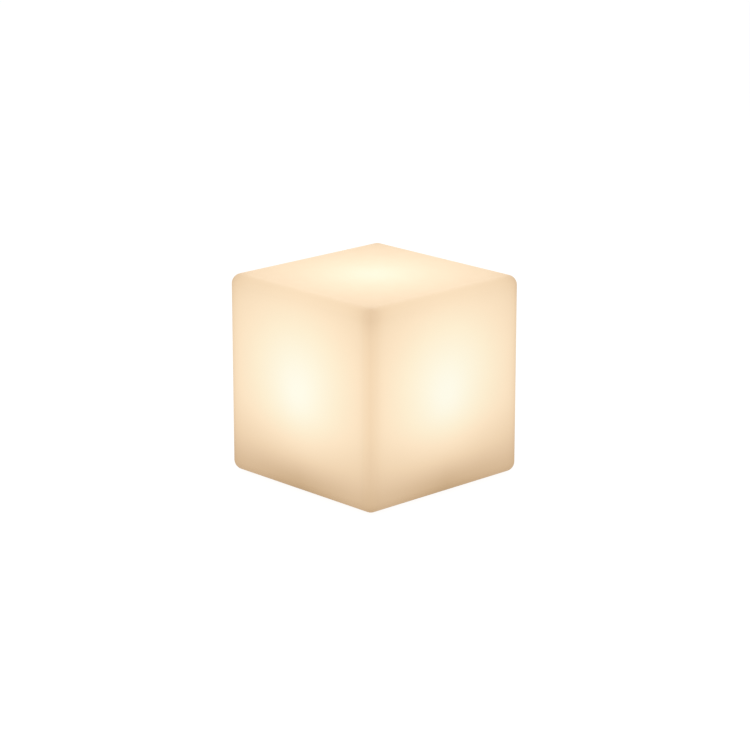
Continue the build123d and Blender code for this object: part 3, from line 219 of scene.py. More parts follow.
# %% [markdown]
# ## The studio
#
# The photograph has a pure white ground with no line or shadow on it. White comes from
# the ground's own colour, not from more light on the object: the floor is mostly an
# even white that the camera sees, with a small share of real diffuse white that keeps a
# trace of the cube's shadow. From below the floor is clear, so the underside can be seen.
# It lies a hair below the feet, because two faces at one height would flicker.

# %% Floor
FLOOR_WHITE = 1.05
FLOOR_SHADOW_SHARE = 0.12
FLOOR_HALF = 20.0
FLOOR_DROP = 0.02 * MM

floor_material = bpy.data.materials.new("studio_floor")
floor_material.use_nodes = True
tree = floor_material.node_tree
tree.nodes.clear()
matt = put("BsdfDiffuse", tree, Color=(1.0, 1.0, 1.0)).outputs[0]
white = put("Emission", tree, Color=(1.0, 1.0, 1.0), Strength=FLOOR_WHITE).outputs[0]
clear = put("BsdfTransparent", tree).outputs[0]
backfacing = put("NewGeometry", tree).outputs["Backfacing"]
ground = tree.nodes.new("ShaderNodeMixShader")
fill_in_order(ground, (FLOOR_SHADOW_SHARE, white, matt))
one_sided = tree.nodes.new("ShaderNodeMixShader")
fill_in_order(one_sided, (backfacing, ground.outputs[0], clear))
fill(tree.nodes.new("ShaderNodeOutputMaterial").inputs[0], one_sided.outputs[0])

floor_mesh = bpy.data.meshes.new("floor")
reach = FLOOR_HALF * np.array([(-1, -1), (1, -1), (1, 1), (-1, 1)])
corners = np.column_stack([reach, np.full(4, -FLOOR_DROP)]).tolist()
floor_mesh.from_pydata(corners, [], [(0, 1, 2, 3)])
floor_mesh.materials.append(floor_material)
floor = bpy.data.objects.new("floor", floor_mesh)
bpy.context.collection.objects.link(floor)
floor.visible_diffuse = floor.visible_shadow = False

# %% World and softboxes
WORLD_LIGHT = 0.70
BOX_REACH, BOX_SIDE = 1.8, 1.2
world = bpy.data.worlds.new("studio")
bpy.context.scene.world = world
world.use_nodes = True
tree = world.node_tree
tree.nodes.clear()
path = put("LightPath", tree).outputs
seen = larger(path["Is Camera Ray"], path["Is Glossy Ray"])
seen = larger(seen, path["Is Transmission Ray"])
strength = put("MapRange", Value=seen, To_Min=WORLD_LIGHT, To_Max=1.0).outputs[0]
background = put("Background", Color=(1.0, 1.0, 1.0), Strength=strength).outputs[0]
fill(tree.nodes.new("ShaderNodeOutputWorld").inputs[0], background)


def softbox(name, turn_degrees, rise_degrees, power):
    """A square area light at an angle round the cube, facing its middle."""
    a, e = math.radians(turn_degrees), math.radians(rise_degrees)
    out = Vector((math.sin(a) * math.cos(e), -math.cos(a) * math.cos(e), math.sin(e)))
    lamp = bpy.data.objects.new(name, bpy.data.lights.new(name, "AREA"))
    bpy.context.collection.objects.link(lamp)
    lamp.data.size, lamp.data.energy = BOX_SIDE, power
    lamp.location = cube_centre + out * BOX_REACH
    lamp.rotation_mode = "QUATERNION"
    lamp.rotation_quaternion = (-out).to_track_quat("-Z", "Y")
    print(name, "softbox", power, "W")
    return lamp


front_lamp = softbox("front", 44.0, 30.0, 14.0)
softbox("rear", 226.0, 35.0, 9.0)
# The satin wall would show the front light as a pale blotch, so nothing mirrors it.
front_lamp.visible_glossy = False

# %% [markdown]
# ## The milky wall and the light in it
#
# The wall is milky plastic that spreads the light of the lamp inside. The real light
# passes through the wall, and tracing it through would need many rays and still give a
# noisy picture. What the eye sees is simpler: each point of the wall is as bright as the
# light that reaches it. So the wall gives off light by a formula. Light falls off with
# the distance and with the slant at which it meets the wall, so a flat wall is brightest
# straight opposite the lamp. Rims and corners are dimmer, and the mounting ring shades
# the foot. The formula has these parts, and its numbers were fitted to the photograph.

# %% The parts of the glow formula
CORE_LIFT, SPREAD_LIFT = 96.0 * MM, 116.1 * MM
CORE_LEVEL, CORE_WIDTH = 0.078, 0.0777
SPREAD_LEVEL, SPREAD_POWER, UPWARD_LOSS = 0.358, 3.0, 0.395
EVEN_LEVEL = 0.181
half_wall = tuple(cube_size / 2)


def bell(value, width):
    """exp(-(value / width) squared): 1 at zero, and nearly nothing at twice the width."""
    ratio = divided(value, width)
    square = times(ratio, ratio)
    return calc("EXPONENT", times(square, -1.0))


def slant(position, lift):
    """Cosine of the angle at which light from a point on the axis meets a wall of the
    cube: the largest step along an axis, as a share of the wall's distance, over the
    distance. Also gives how far upwards the light goes, from 0 to 1."""
    ray = vector_calc("SUBTRACT", position, (0.0, 0.0, lift))
    distance_out = vector_calc("LENGTH", ray)
    steps = vector_calc("DIVIDE", vector_calc("ABSOLUTE", ray), half_wall)
    x, y, z = parts(steps)
    largest = larger(larger(x, y), z)
    cosine = divided(times(largest, half_wall[0]), distance_out)
    rise = larger(parts(ray)[2], 0.0)
    return cosine, divided(rise, distance_out)


def direct_light(position):
    """An even level, plus a wide lobe and a narrow core that are weaker straight upwards."""
    wide, upward = slant(position, SPREAD_LIFT)
    lobe = times(calc("POWER", wide, SPREAD_POWER), SPREAD_LEVEL)
    narrow, _ = slant(position, CORE_LIFT)
    off_axis = minus(times(narrow, narrow), 1.0)
    core = calc("EXPONENT", divided(off_axis, CORE_WIDTH))
    lobe = plus(lobe, times(core, CORE_LEVEL))
    loss = times(times(upward, upward), UPWARD_LOSS)
    lobe = times(lobe, minus(1.0, loss))
    return plus(lobe, EVEN_LEVEL)


# %% What dims the foot, the rims and the corners
FOOT_SHADE, FOOT_SHADE_LOW, FOOT_SHADE_TOP = 0.711, -31.7 * MM, 87.8 * MM
RING_SHADE, RING_SHADE_TOP, RING_SHADE_AT_CORNER = 0.36, 47.9 * MM, 0.2
RIM_LOSS, RIM_WIDTH = 0.085, 0.124
UPRIGHT_LOSS, UPRIGHT_WIDTH = 0.193, 0.092
CORNER_LOSS, CORNER_WIDTH = 0.258, 0.188


def foot_light(position):
    """What is left low on the wall: less everywhere near the foot, and least in the
    middle of a side, where the mounting ring is nearest."""
    across = vector_calc("ABSOLUTE", position)
    x, y, z = parts(across)
    broad = between(z, FOOT_SHADE_LOW, FOOT_SHADE_TOP, FOOT_SHADE, 0.0)
    off_middle = divided(smaller(x, y), half_wall[0])
    middle = minus(1.0 + RING_SHADE_AT_CORNER, off_middle)
    near_ring = between(z, 0.0, RING_SHADE_TOP, RING_SHADE, 0.0)
    shade = plus(broad, times(near_ring, middle))
    return minus(1.0, shade)


def rim_light(position):
    """What is left at rims and corners. Sorted, the three distances from the middle say
    where a point is: on a rim the middle one is 1 too, and on a corner the smallest. The
    four upright rims are the dimmest, and there both x and y are 1."""
    centred = vector_calc("SUBTRACT", position, tuple(cube_centre))
    shares = vector_calc("DIVIDE", vector_calc("ABSOLUTE", centred), half_wall)
    x, y, z = parts(shares)
    smallest = smaller(smaller(x, y), z)
    largest = larger(larger(x, y), z)
    total = plus(plus(x, y), z)
    middle = minus(minus(total, smallest), largest)
    to_rim = minus(1.0, middle)
    to_corner = minus(1.0, smallest)
    rim = times(bell(to_rim, RIM_WIDTH), RIM_LOSS)
    corner = times(bell(to_rim, CORNER_WIDTH), bell(to_corner, CORNER_WIDTH))
    to_upright = minus(1.0, smaller(x, y))
    upright = times(bell(to_upright, UPRIGHT_WIDTH), UPRIGHT_LOSS)
    loss = plus(rim, times(corner, CORNER_LOSS))
    return minus(1.0, plus(loss, upright))


# %% The glow as a node group
lamp_glow, group_in, group_out = new_group("lamp_glow", [], ["Level"])
level = direct_light(group_in[0])
level = times(level, foot_light(group_in[0]))
level = times(level, rim_light(group_in[0]))
fill(group_out[0], level)
print("lamp_glow:", len(lamp_glow.nodes), "nodes")

# %% [markdown]
# ## Surface effects that several finishes share
#
# No moulded part is one flat colour. The mould leaves a fine grain, the resin has paler
# and darker clouds, and hands polish some patches more than others. Four node groups
# give these effects as plain numbers from 0 to 1, and each material then uses them with
# its own strength: the skin of a moulding, rings left by turning, hair scratches, and
# pores. All read the place on the object in metres, so their scale is a real one: a
# noise of scale 2500 has lumps 0.4 mm apart.

# %% Skin of a moulding
CLOUD_SCALE, CLOUD_RANGE = 16.0, (0.3, 0.7)
HANDLING_SCALE, HANDLING_RANGE = 70.0, (0.35, 0.65)


def noise(position, scale, detail=2.0):
    """Cloudy noise around 0.5."""
    return put("TexNoise", Vector=position, Scale=scale, Detail=detail).outputs[0]


moulded_skin, group_in, group_out = new_group(
    "moulded_skin", [("Grain Scale", 2500.0)], ["Clouds", "Handling", "Grain"]
)
clouds = noise(group_in[0], CLOUD_SCALE, 3.0)
fill(group_out["Clouds"], between(clouds, *CLOUD_RANGE))
handling = noise(group_in[0], HANDLING_SCALE, 4.0)
fill(group_out["Handling"], between(handling, *HANDLING_RANGE))
fill(group_out["Grain"], noise(group_in[0], group_in[1], 1.0))
print("moulded_skin:", len(moulded_skin.nodes), "nodes")

# %% Rings left by turning, scratches and pores
SCRATCH_RANGE, PORE_EDGE = (0.66, 0.74), 0.15


def drawn_lines(position, squeeze, scale):
    """Fine lines: noise whose lumps are long where squeeze is small."""
    return noise(vector_calc("MULTIPLY", position, squeeze), scale)


ring_grooves, group_in, group_out = new_group(
    "ring_grooves", [("Centre", (0.0, 0.0, 0.0)), ("Pitch", 0.5 * MM)], ["Groove"]
)
flat = vector_calc("MULTIPLY", group_in[0], (1.0, 1.0, 0.0))
radius = vector_calc("DISTANCE", flat, group_in["Centre"])
phase = divided(times(radius, 2 * math.pi), group_in["Pitch"])
wave = calc("SINE", phase)
fill(group_out[0], between(wave, -1.0, 1.0))

hair_scratches, group_in, group_out = new_group(
    "hair_scratches", [("Scale", 900.0)], ["Scratch"]
)
crosswise = drawn_lines(group_in[0], (1.0, 0.06, 1.0), group_in[1])
lengthwise = drawn_lines(group_in[0], (0.05, 1.0, 1.0), group_in[1])
strongest = larger(crosswise, lengthwise)
fill(group_out[0], between(strongest, *SCRATCH_RANGE))

pores, group_in, group_out = new_group("pores", [("Scale", 1500.0), ("Size", 0.3)], ["Pore"])
cell_distance = put("TexVoronoi", Vector=group_in[0], Scale=group_in[1]).outputs["Distance"]
nearness = minus(group_in["Size"], cell_distance)
fill(group_out[0], between(nearness, 0.0, PORE_EDGE))
for group in (ring_grooves, hair_scratches, pores):
    print(group.name + ":", len(group.nodes), "nodes")

# %% Helpers that finish a material
slot_of = {row["node"]: row["material_slot"] for row in frame["record"]["subparts"]}
finishes = {}


def new_material(slot, **sockets):
    """A material with one Principled shader, given to all the solid model's parts that
    have this slot. Constant values sit on the shader's own sockets."""
    material = bpy.data.materials.new(slot)
    material.use_nodes = True
    tree = material.node_tree
    shader = tree.nodes["Principled BSDF"]
    fill_named(shader, sockets)
    finishes[slot] = material
    wearers = [node for node, name in slot_of.items() if name == slot]
    for node in wearers:
        nodes[node].data.materials.clear()
        nodes[node].data.materials.append(material)
    print(slot, "on", len(wearers), "parts")
    return shader.inputs, tree.nodes.new("ShaderNodeTexCoord").outputs["Object"]


def paint(shader, share, first, second, label="Base Color"):
    """Mixes two colours by a share from 0 to 1."""
    fill(shader[label], mixed(share, first, second))


def rough(shader, share, low, high):
    """Roughness from low to high as a share goes from 0 to 1."""
    fill(shader["Roughness"], between(share, 0.0, 1.0, low, high))


def relief(shader, height, depth):
    """Bumps of a real depth in metres, for a height that goes from 0 to 1."""
    bump = put("Bump", Strength=1.0, Distance=depth, Height=height)
    fill(shader["Normal"], bump.outputs[0])


def moulded(slot, grain_scale, low, high, **sockets):
    """A material with the skin of a moulding. Handling takes its roughness from low to
    high."""
    shader, position = new_material(slot, **sockets)
    skin = place_group(moulded_skin, position, Grain_Scale=grain_scale)
    rough(shader, skin["Handling"], low, high)
    return shader, position, skin


# %% [markdown]
# ## Finish of the shell
#
# The wall is satin, neither glossy nor chalky, and has no grain that could be seen from
# a step away. Its light is warm white. Where it is dim, the milky plastic has soaked up
# more of the blue, so it turns amber at the foot and the rims, and a colour ramp holds
# this series from amber to warm white. Its colours were matched to the photograph's glow
# at each level. The ramp feeds the colour of the emission, and its strength stays 1.

# %% Milky shell
GLOW_TOP = 0.6
GLOW_STOPS = [
    (0.00, (0.225, 0.105, 0.012)),
    (0.05, (0.289, 0.154, 0.050)),
    (0.16, (0.441, 0.289, 0.162)),
    (0.23, (0.535, 0.378, 0.230)),
    (0.31, (0.614, 0.466, 0.310)),
    (0.34, (0.640, 0.499, 0.341)),
    (0.42, (0.652, 0.572, 0.418)),
    (0.52, (0.657, 0.637, 0.515)),
    (0.60, (0.662, 0.682, 0.598)),
]


def ramp(level, top, stops):
    """A colour for each level, by straight steps between the stops."""
    node = put("ValToRGB", Fac=calc("DIVIDE", level, top, clamp=True))
    elements = node.color_ramp.elements
    while len(elements) < len(stops):
        elements.new(1.0)
    for element, (place, colour) in zip(elements, stops):
        element.position, element.color = place / top, (*colour, 1.0)
    return node.outputs[0]


shader, position, skin = moulded(
    "milky_shell", 3000.0, 0.61, 0.64, Specular_IOR_Level=0.12, Emission_Strength=1.0
)
paint(shader, skin["Clouds"], (0.338, 0.284, 0.210), (0.346, 0.292, 0.216))
relief(shader, skin["Grain"], 0.004 * MM)
level = place_group(lamp_glow, position)["Level"]
fill(shader["Emission Color"], ramp(level, GLOW_TOP, GLOW_STOPS))

# %% [markdown]
# ## The diffuser globe and the lamps
#
# The globe spreads the light of 36 small lamps on an upright heat sink. It is brightest
# in a belt level with them and dimmer at its top and its neck. Each lamp is a white
# packet with a drop of yellow phosphor on its face, so one material has both: it turns
# yellow wherever a point lies further out than the packets' faces.

# %% Milky globe
globe_low, globe_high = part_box("diffuser_globe")
globe_middle = (globe_low.z + globe_high.z) / 2
shader, position, skin = moulded(
    "milky_globe", 2200.0, 0.38, 0.50, Specular_IOR_Level=0.4, Emission_Strength=1.0
)
paint(shader, skin["Clouds"], (0.66, 0.61, 0.52), (0.70, 0.66, 0.58))
relief(shader, skin["Grain"], 0.004 * MM)
height = minus(parts(position)[2], globe_middle)
belt = bell(height, (globe_high.z - globe_low.z) / 2)
paint(shader, belt, (0.42, 0.24, 0.09), (0.95, 0.84, 0.62), "Emission Color")

# %% Lamps and their drops of phosphor
chips_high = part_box("led_chips")[1]
PHOSPHOR_EDGE = 0.04 * MM
shader, position = new_material("led_lamp", Emission_Strength=1.0, Roughness=0.42)
outwards = vector_calc("ABSOLUTE", position)
x, y, _ = parts(outwards)
z = parts(position)[2]
over_side = minus(larger(x, y), chips_high.x)
over_top = minus(z, chips_high.z)
over_face = between(larger(over_side, over_top), 0.0, PHOSPHOR_EDGE)
specks = noise(position, 9000.0)
phosphor = mixed(specks, (0.82, 0.47, 0.05), (0.88, 0.60, 0.12))
paint(shader, over_face, (0.78, 0.77, 0.72), phosphor)
paint(shader, over_face, (0.30, 0.25, 0.16), (1.0, 0.80, 0.46), "Emission Color")
relief(shader, specks, 0.01 * MM)

# %% Status lamp and its light pipe
shader, position = new_material("status_lamp", Roughness=0.25, Emission_Strength=1.0)
haze = noise(position, 1200.0)
paint(shader, haze, (0.30, 0.62, 0.30), (0.42, 0.72, 0.40))
paint(shader, haze, (0.05, 0.55, 0.10), (0.12, 0.80, 0.18), "Emission Color")

shader, position, skin = moulded(
    "clear_acrylic", 1800.0, 0.08, 0.22, IOR=1.49, Transmission_Weight=0.92
)
paint(shader, skin["Clouds"], (0.86, 0.92, 0.88), (0.95, 0.97, 0.95))

# %% [markdown]
# ## White plastic
#
# Drum, ring, cover, tray and door are moulded in the same warm white plastic, with a
# spark-eroded grain that hides finger marks. The drum's rim and the ring stand out
# lowest, so they have taken hair scratches, and some dust has stayed in the grain. The
# mask for that is a height: full at the lowest faces, and gone about a millimetre up.

# %% White plastic with a scuffed underside
drum_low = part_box("unit_housing")[0]
SCUFF_RISE, SCRATCH_PAINT, SCRATCH_DEPTH = 1.2 * MM, 0.3, 0.4
shader, position, skin = moulded("white_abs", 2600.0, 0.42, 0.58, Specular_IOR_Level=0.45)
scratch = place_group(hair_scratches, position, Scale=1100.0)["Scratch"]
z = parts(position)[2]
low_down = between(z, drum_low.z, drum_low.z + SCUFF_RISE, 1.0, 0.0)
scuffed = times(scratch, low_down)
plain = mixed(skin["Clouds"], (0.775, 0.758, 0.712), (0.800, 0.786, 0.746))
dusty = mixed(times(low_down, skin["Handling"]), plain, (0.750, 0.732, 0.684))
paint(shader, times(scuffed, SCRATCH_PAINT), dusty, (0.55, 0.53, 0.49))
lowered = minus(skin["Grain"], times(scuffed, SCRATCH_DEPTH))
relief(shader, lowered, 0.02 * MM)

# %% [markdown]
# ## Button
#
# The cap is soft grey plastic with fine turned rings, so that a finger finds it. The
# power sign is sunk in its face and filled with white paint. Nothing else lies so near
# the axis at that height, so two masks find the paint: the distance from the axis and
# the height.

# %% Grey button with its painted sign
button_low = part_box("power_button")[0]
SIGN_REACH, SIGN_DEPTH, PAINT_EDGE = 4.6 * MM, 0.4 * MM, 0.06 * MM
GROOVES_FROM, GROOVES_EASE = 5.0 * MM, 0.2 * MM
shader, position, skin = moulded("grey_button", 3200.0, 0.50, 0.66, Specular_IOR_Level=0.4)
groove = place_group(ring_grooves, position, Pitch=0.7 * MM)["Groove"]
z = parts(position)[2]
from_axis = vector_calc("LENGTH", vector_calc("MULTIPLY", position, (1.0, 1.0, 0.0)))
near_axis = between(from_axis, SIGN_REACH, SIGN_REACH + PAINT_EDGE, 1.0, 0.0)
above_face = between(z, button_low.z + PAINT_EDGE, button_low.z + 2 * PAINT_EDGE)
core_edge = button_low.z + SIGN_DEPTH + PAINT_EDGE
below_core = between(z, core_edge, core_edge + PAINT_EDGE, 1.0, 0.0)
painted = times(near_axis, times(above_face, below_core))
grey = mixed(skin["Clouds"], (0.115, 0.118, 0.122), (0.150, 0.152, 0.155))
paint(shader, painted, grey, (0.80, 0.80, 0.78))
bare = minus(1.0, painted)
ridges = times(bare, between(from_axis, GROOVES_FROM, GROOVES_FROM + GROOVES_EASE))
relief(shader, times(ridges, groove), 0.05 * MM)

# %% [markdown]
# ## Rubber and gaskets
#
# Feet, seals and grommet are black rubber with a grey bloom and picked-up dust. The
# feet have fine rings underneath. All four feet have the same place once the signs of x
# and y are dropped, so one set of rings serves them all. The gaskets are grey silicone
# foam, and pores make it foam. The pores are sunk, and they are painted darker as
# painted shade in their hollows.

# %% Black rubber
DUST_SHARE, GRAIN_SHARE, UNDERSIDE = 0.35, 0.2, 0.5 * MM
foot_low, foot_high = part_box("foot_back_right")
foot_centre = ((foot_low.x + foot_high.x) / 2, (foot_low.y + foot_high.y) / 2, 0.0)
shader, position, skin = moulded("black_rubber", 2000.0, 0.62, 0.84, Specular_IOR_Level=0.35)
dust = place_group(pores, position, Scale=1300.0, Size=0.28)["Pore"]
folded = vector_calc("ABSOLUTE", position)
rings = place_group(ring_grooves, folded, Centre=foot_centre, Pitch=1.2 * MM)
bloom = mixed(skin["Clouds"], (0.014, 0.014, 0.015), (0.032, 0.031, 0.030))
dusted = times(dust, times(skin["Handling"], DUST_SHARE))
paint(shader, dusted, bloom, (0.20, 0.19, 0.17))
under_foot = between(parts(position)[2], UNDERSIDE, 2 * UNDERSIDE, 1.0, 0.0)
ringed = times(rings["Groove"], under_foot)
relief(shader, plus(times(skin["Grain"], GRAIN_SHARE), ringed), 0.12 * MM)

# %% Grey gasket foam
shader, position, skin = moulded("grey_gasket", 1500.0, 0.70, 0.88, Specular_IOR_Level=0.3)
pore = place_group(pores, position, Scale=1800.0, Size=0.34)["Pore"]
body_grey = mixed(skin["Clouds"], (0.185, 0.190, 0.195), (0.245, 0.248, 0.250))
# The pores are painted darker: painted shade in the hollows of the foam.
paint(shader, times(pore, 0.6), body_grey, (0.08, 0.08, 0.085))
relief(shader, minus(1.0, pore), 0.08 * MM)

# %% [markdown]
# ## Metals
#
# Screws, springs and tabs are stainless steel, the inserts are turned brass, and the
# heat sink is drawn aluminium. A metal has almost no colour of its own but what it
# mirrors, so the detail is in its roughness: lines along the way the tool went. Noise
# that is squeezed hard in one direction gives such lines.

# %% Stainless steel, brass and drawn aluminium
def metal(slot, grain_scale, squeeze, scale, mask, dark, pale, lines_range, smooth, coarse, depth):
    """A metal with tool lines. They run where squeeze is small and set its roughness, and
    a mask of the skin mixes its two shades."""
    shader, position = new_material(slot, Metallic=1.0)
    skin = place_group(moulded_skin, position, Grain_Scale=grain_scale)
    lines = drawn_lines(position, squeeze, scale)
    paint(shader, skin[mask], dark, pale)
    share = between(lines, *lines_range) if lines_range else lines
    rough(shader, share, smooth, coarse)
    relief(shader, lines, depth)


STEEL, STEEL_PALE = (0.40, 0.395, 0.385), (0.50, 0.49, 0.48)
BRASS, BRASS_PALE = (0.64, 0.45, 0.20), (0.78, 0.60, 0.31)
ALUMINIUM, ALUMINIUM_PALE = (0.60, 0.61, 0.62), (0.72, 0.72, 0.73)
CRISP = (0.35, 0.65)
metal("stainless", 2600.0, (1.0, 1.0, 0.08), 3000.0, "Clouds",
      STEEL, STEEL_PALE, CRISP, 0.20, 0.42, 0.01 * MM)
metal("brass", 2600.0, (1.0, 1.0, 0.1), 1800.0, "Handling",
      BRASS, BRASS_PALE, None, 0.18, 0.40, 0.12 * MM)
metal("heat_sink_metal", 2000.0, (1.0, 1.0, 0.03), 1600.0, "Clouds",
      ALUMINIUM, ALUMINIUM_PALE, CRISP, 0.30, 0.50, 0.03 * MM)

# %% Capacitor cans
cap_low, cap_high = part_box("board_capacitors")
CAN_BARE, STRIPE = 0.5 * MM, 0.5 * MM
shader, position, skin = moulded("capacitor_can", 2600.0, 0.28, 0.42)
_, y, z = parts(position)
bare = between(z, cap_high.z - CAN_BARE, cap_high.z - CAN_BARE * 0.8)
sleeve = mixed(skin["Clouds"], (0.018, 0.022, 0.045), (0.030, 0.036, 0.070))
tin = mixed(skin["Handling"], (0.60, 0.60, 0.61), (0.72, 0.72, 0.73))
minus_side = between(y, cap_low.y + STRIPE, cap_low.y + 1.2 * STRIPE, 1.0, 0.0)
striped = mixed(minus_side, sleeve, (0.46, 0.47, 0.50))
paint(shader, bare, striped, tin)
fill(shader["Metallic"], bare)
relief(shader, skin["Grain"], 0.01 * MM)

# %% [markdown]
# ## Circuit boards
#
# A board is glass cloth under a skin of green lacquer, and copper tracks show through it
# as paler lines. They only run along x and y. So the board is cut into narrow lanes, and
# a noise that is steady in each stretch of a lane decides whether that stretch has a
# track. Lanes both ways, laid over each other, look like a layout.

# %% Tracks as a node group
TRACK_HALF, EMPTY_SHARE = 0.16, 0.45
board_tracks, group_in, group_out = new_group(
    "board_tracks", [("Lane", 1.1 * MM), ("Stretch", 7.0 * MM)], ["Track", "Pad"]
)


def lanes(across, along, lane, stretch, seed):
    """1 on a track. The place across is cut into lanes, and the place along into
    stretches: the middle third of a lane is a track where its own noise is high."""
    lane_number = divided(across, lane)
    cell = put("CombineXYZ", X=calc("FLOOR", lane_number), Z=seed)
    fill(cell.inputs["Y"], calc("FLOOR", divided(along, stretch)))
    chance = put("TexWhiteNoise", Vector=cell.outputs[0]).outputs["Value"]
    off_middle = calc("ABSOLUTE", minus(calc("FRACT", lane_number), 0.5))
    line = calc("LESS_THAN", off_middle, TRACK_HALF)
    return times(line, calc("GREATER_THAN", chance, EMPTY_SHARE))


x, y, z = parts(group_in[0])
lengthwise = lanes(y, x, group_in["Lane"], group_in["Stretch"], 1.0)
crosswise = lanes(x, y, group_in["Lane"], group_in["Stretch"], 2.0)
fill(group_out["Track"], larger(lengthwise, crosswise))
fill(group_out["Pad"], times(lengthwise, crosswise))
print("board_tracks:", len(board_tracks.nodes), "nodes")

# %% Green board and white lamp boards
shader, position, skin = moulded("green_board", 1400.0, 0.26, 0.40)
tracks = place_group(board_tracks, position)
lacquer = mixed(skin["Clouds"], (0.006, 0.075, 0.028), (0.010, 0.100, 0.038))
traced = mixed(tracks["Track"], lacquer, (0.022, 0.175, 0.065))
paint(shader, tracks["Pad"], traced, (0.62, 0.60, 0.55))
fill(shader["Metallic"], tracks["Pad"])
relief(shader, plus(tracks["Track"], times(skin["Grain"], 0.3)), 0.03 * MM)

shader, position, skin = moulded("white_board", 1800.0, 0.30, 0.45)
x, y, z = parts(position)
upright = put("CombineXYZ", X=plus(x, y), Y=z).outputs[0]
tracks = place_group(board_tracks, upright, Lane=2.4 * MM, Stretch=9.0 * MM)
lacquer = mixed(skin["Clouds"], (0.76, 0.76, 0.73), (0.82, 0.82, 0.80))
paint(shader, times(tracks["Track"], 0.5), lacquer, (0.66, 0.67, 0.64))
relief(shader, tracks["Track"], 0.03 * MM)

# %% [markdown]
# ## Small plastics and the battery
#
# Chips and switch are black epoxy with a fine flow pattern, plugs are ivory nylon, and
# the switch's plunger is red. Each cell wears a shrunk sleeve of blue film. It wrinkles
# where it folds over the cell's ends, and the metal can shows inside its rim. Of each
# pair of wires one is red and one black, on either side of the middle plane.

# %% Chips, plugs and plunger
for slot, dark, pale, grain_scale, depth, smooth, coarse in (
    ("black_plastic", (0.012, 0.012, 0.013), (0.024, 0.024, 0.026), 4200.0, 0.030, 0.36, 0.55),
    ("ivory_nylon", (0.68, 0.62, 0.46), (0.76, 0.71, 0.56), 2400.0, 0.020, 0.34, 0.48),
    ("red_plunger", (0.42, 0.016, 0.012), (0.52, 0.026, 0.018), 3600.0, 0.015, 0.30, 0.44),
):
    shader, position, skin = moulded(slot, grain_scale, smooth, coarse, Specular_IOR_Level=0.45)
    paint(shader, skin["Clouds"], dark, pale)
    relief(shader, skin["Grain"], depth * MM)

# %% Cells and wires
cell_low, cell_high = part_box("battery_cell_front")
CAN_RADIUS, CAN_EDGE = 6.8 * MM, 0.2 * MM
FOLDS_FROM, FOLDS_FULL = 5.0 * MM, 1.0 * MM
cell_axis_y, cell_axis_z = (cell_low.y + cell_high.y) / 2, (cell_low.z + cell_high.z) / 2
shader, position, skin = moulded("cell_sleeve", 1500.0, 0.22, 0.34)
across = vector_calc("MULTIPLY", vector_calc("ABSOLUTE", position), (0.0, 1.0, 1.0))
off_axis = vector_calc("DISTANCE", across, (0.0, -cell_axis_y, cell_axis_z))
along = calc("ABSOLUTE", parts(position)[0])
on_end = calc("GREATER_THAN", along, cell_high.x - 0.1 * MM)
in_can = between(off_axis, CAN_RADIUS, CAN_RADIUS + CAN_EDGE, 1.0, 0.0)
bare = times(on_end, in_can)
film = mixed(skin["Clouds"], (0.010, 0.075, 0.215), (0.016, 0.100, 0.270))
paint(shader, bare, film, (0.60, 0.60, 0.59))
fill(shader["Metallic"], bare)
folds = drawn_lines(position, (0.25, 1.0, 1.0), 900.0)
near_end = between(along, cell_high.x - FOLDS_FROM, cell_high.x - FOLDS_FULL, 0.08, 1.0)
relief(shader, times(folds, near_end), 0.25 * MM)

shader, position, skin = moulded("wire_jacket", 2200.0, 0.32, 0.48, Specular_IOR_Level=0.45)
side = calc("GREATER_THAN", parts(position)[1], 0.0)
red = mixed(skin["Clouds"], (0.44, 0.012, 0.010), (0.54, 0.020, 0.015))
black = mixed(skin["Clouds"], (0.012, 0.012, 0.012), (0.022, 0.022, 0.023))
paint(shader, side, black, red)
relief(shader, skin["Grain"], 0.02 * MM)
print("slots without a finish:", sorted(set(slot_of.values()) - set(finishes)))

# %% [markdown]
# ## Small pieces as worked-out surfaces
#
# The solid model has every part, but not what a mould or a printer adds in half a
# millimetre: grip ribs, raised signs, solder and contacts. Each is a stack of closed
# loops: a loop is an outline, and the next loops carry it along. numpy works out all
# the points of all copies at once, and one helper turns a stack into a closed mesh. Where
# a loop shrinks to a point it becomes a pole, and merging the doubles closes it.

# %% From stacks of loops to a closed mesh
SHARP_ANGLE, WELD = math.radians(35), 0.001 * MM


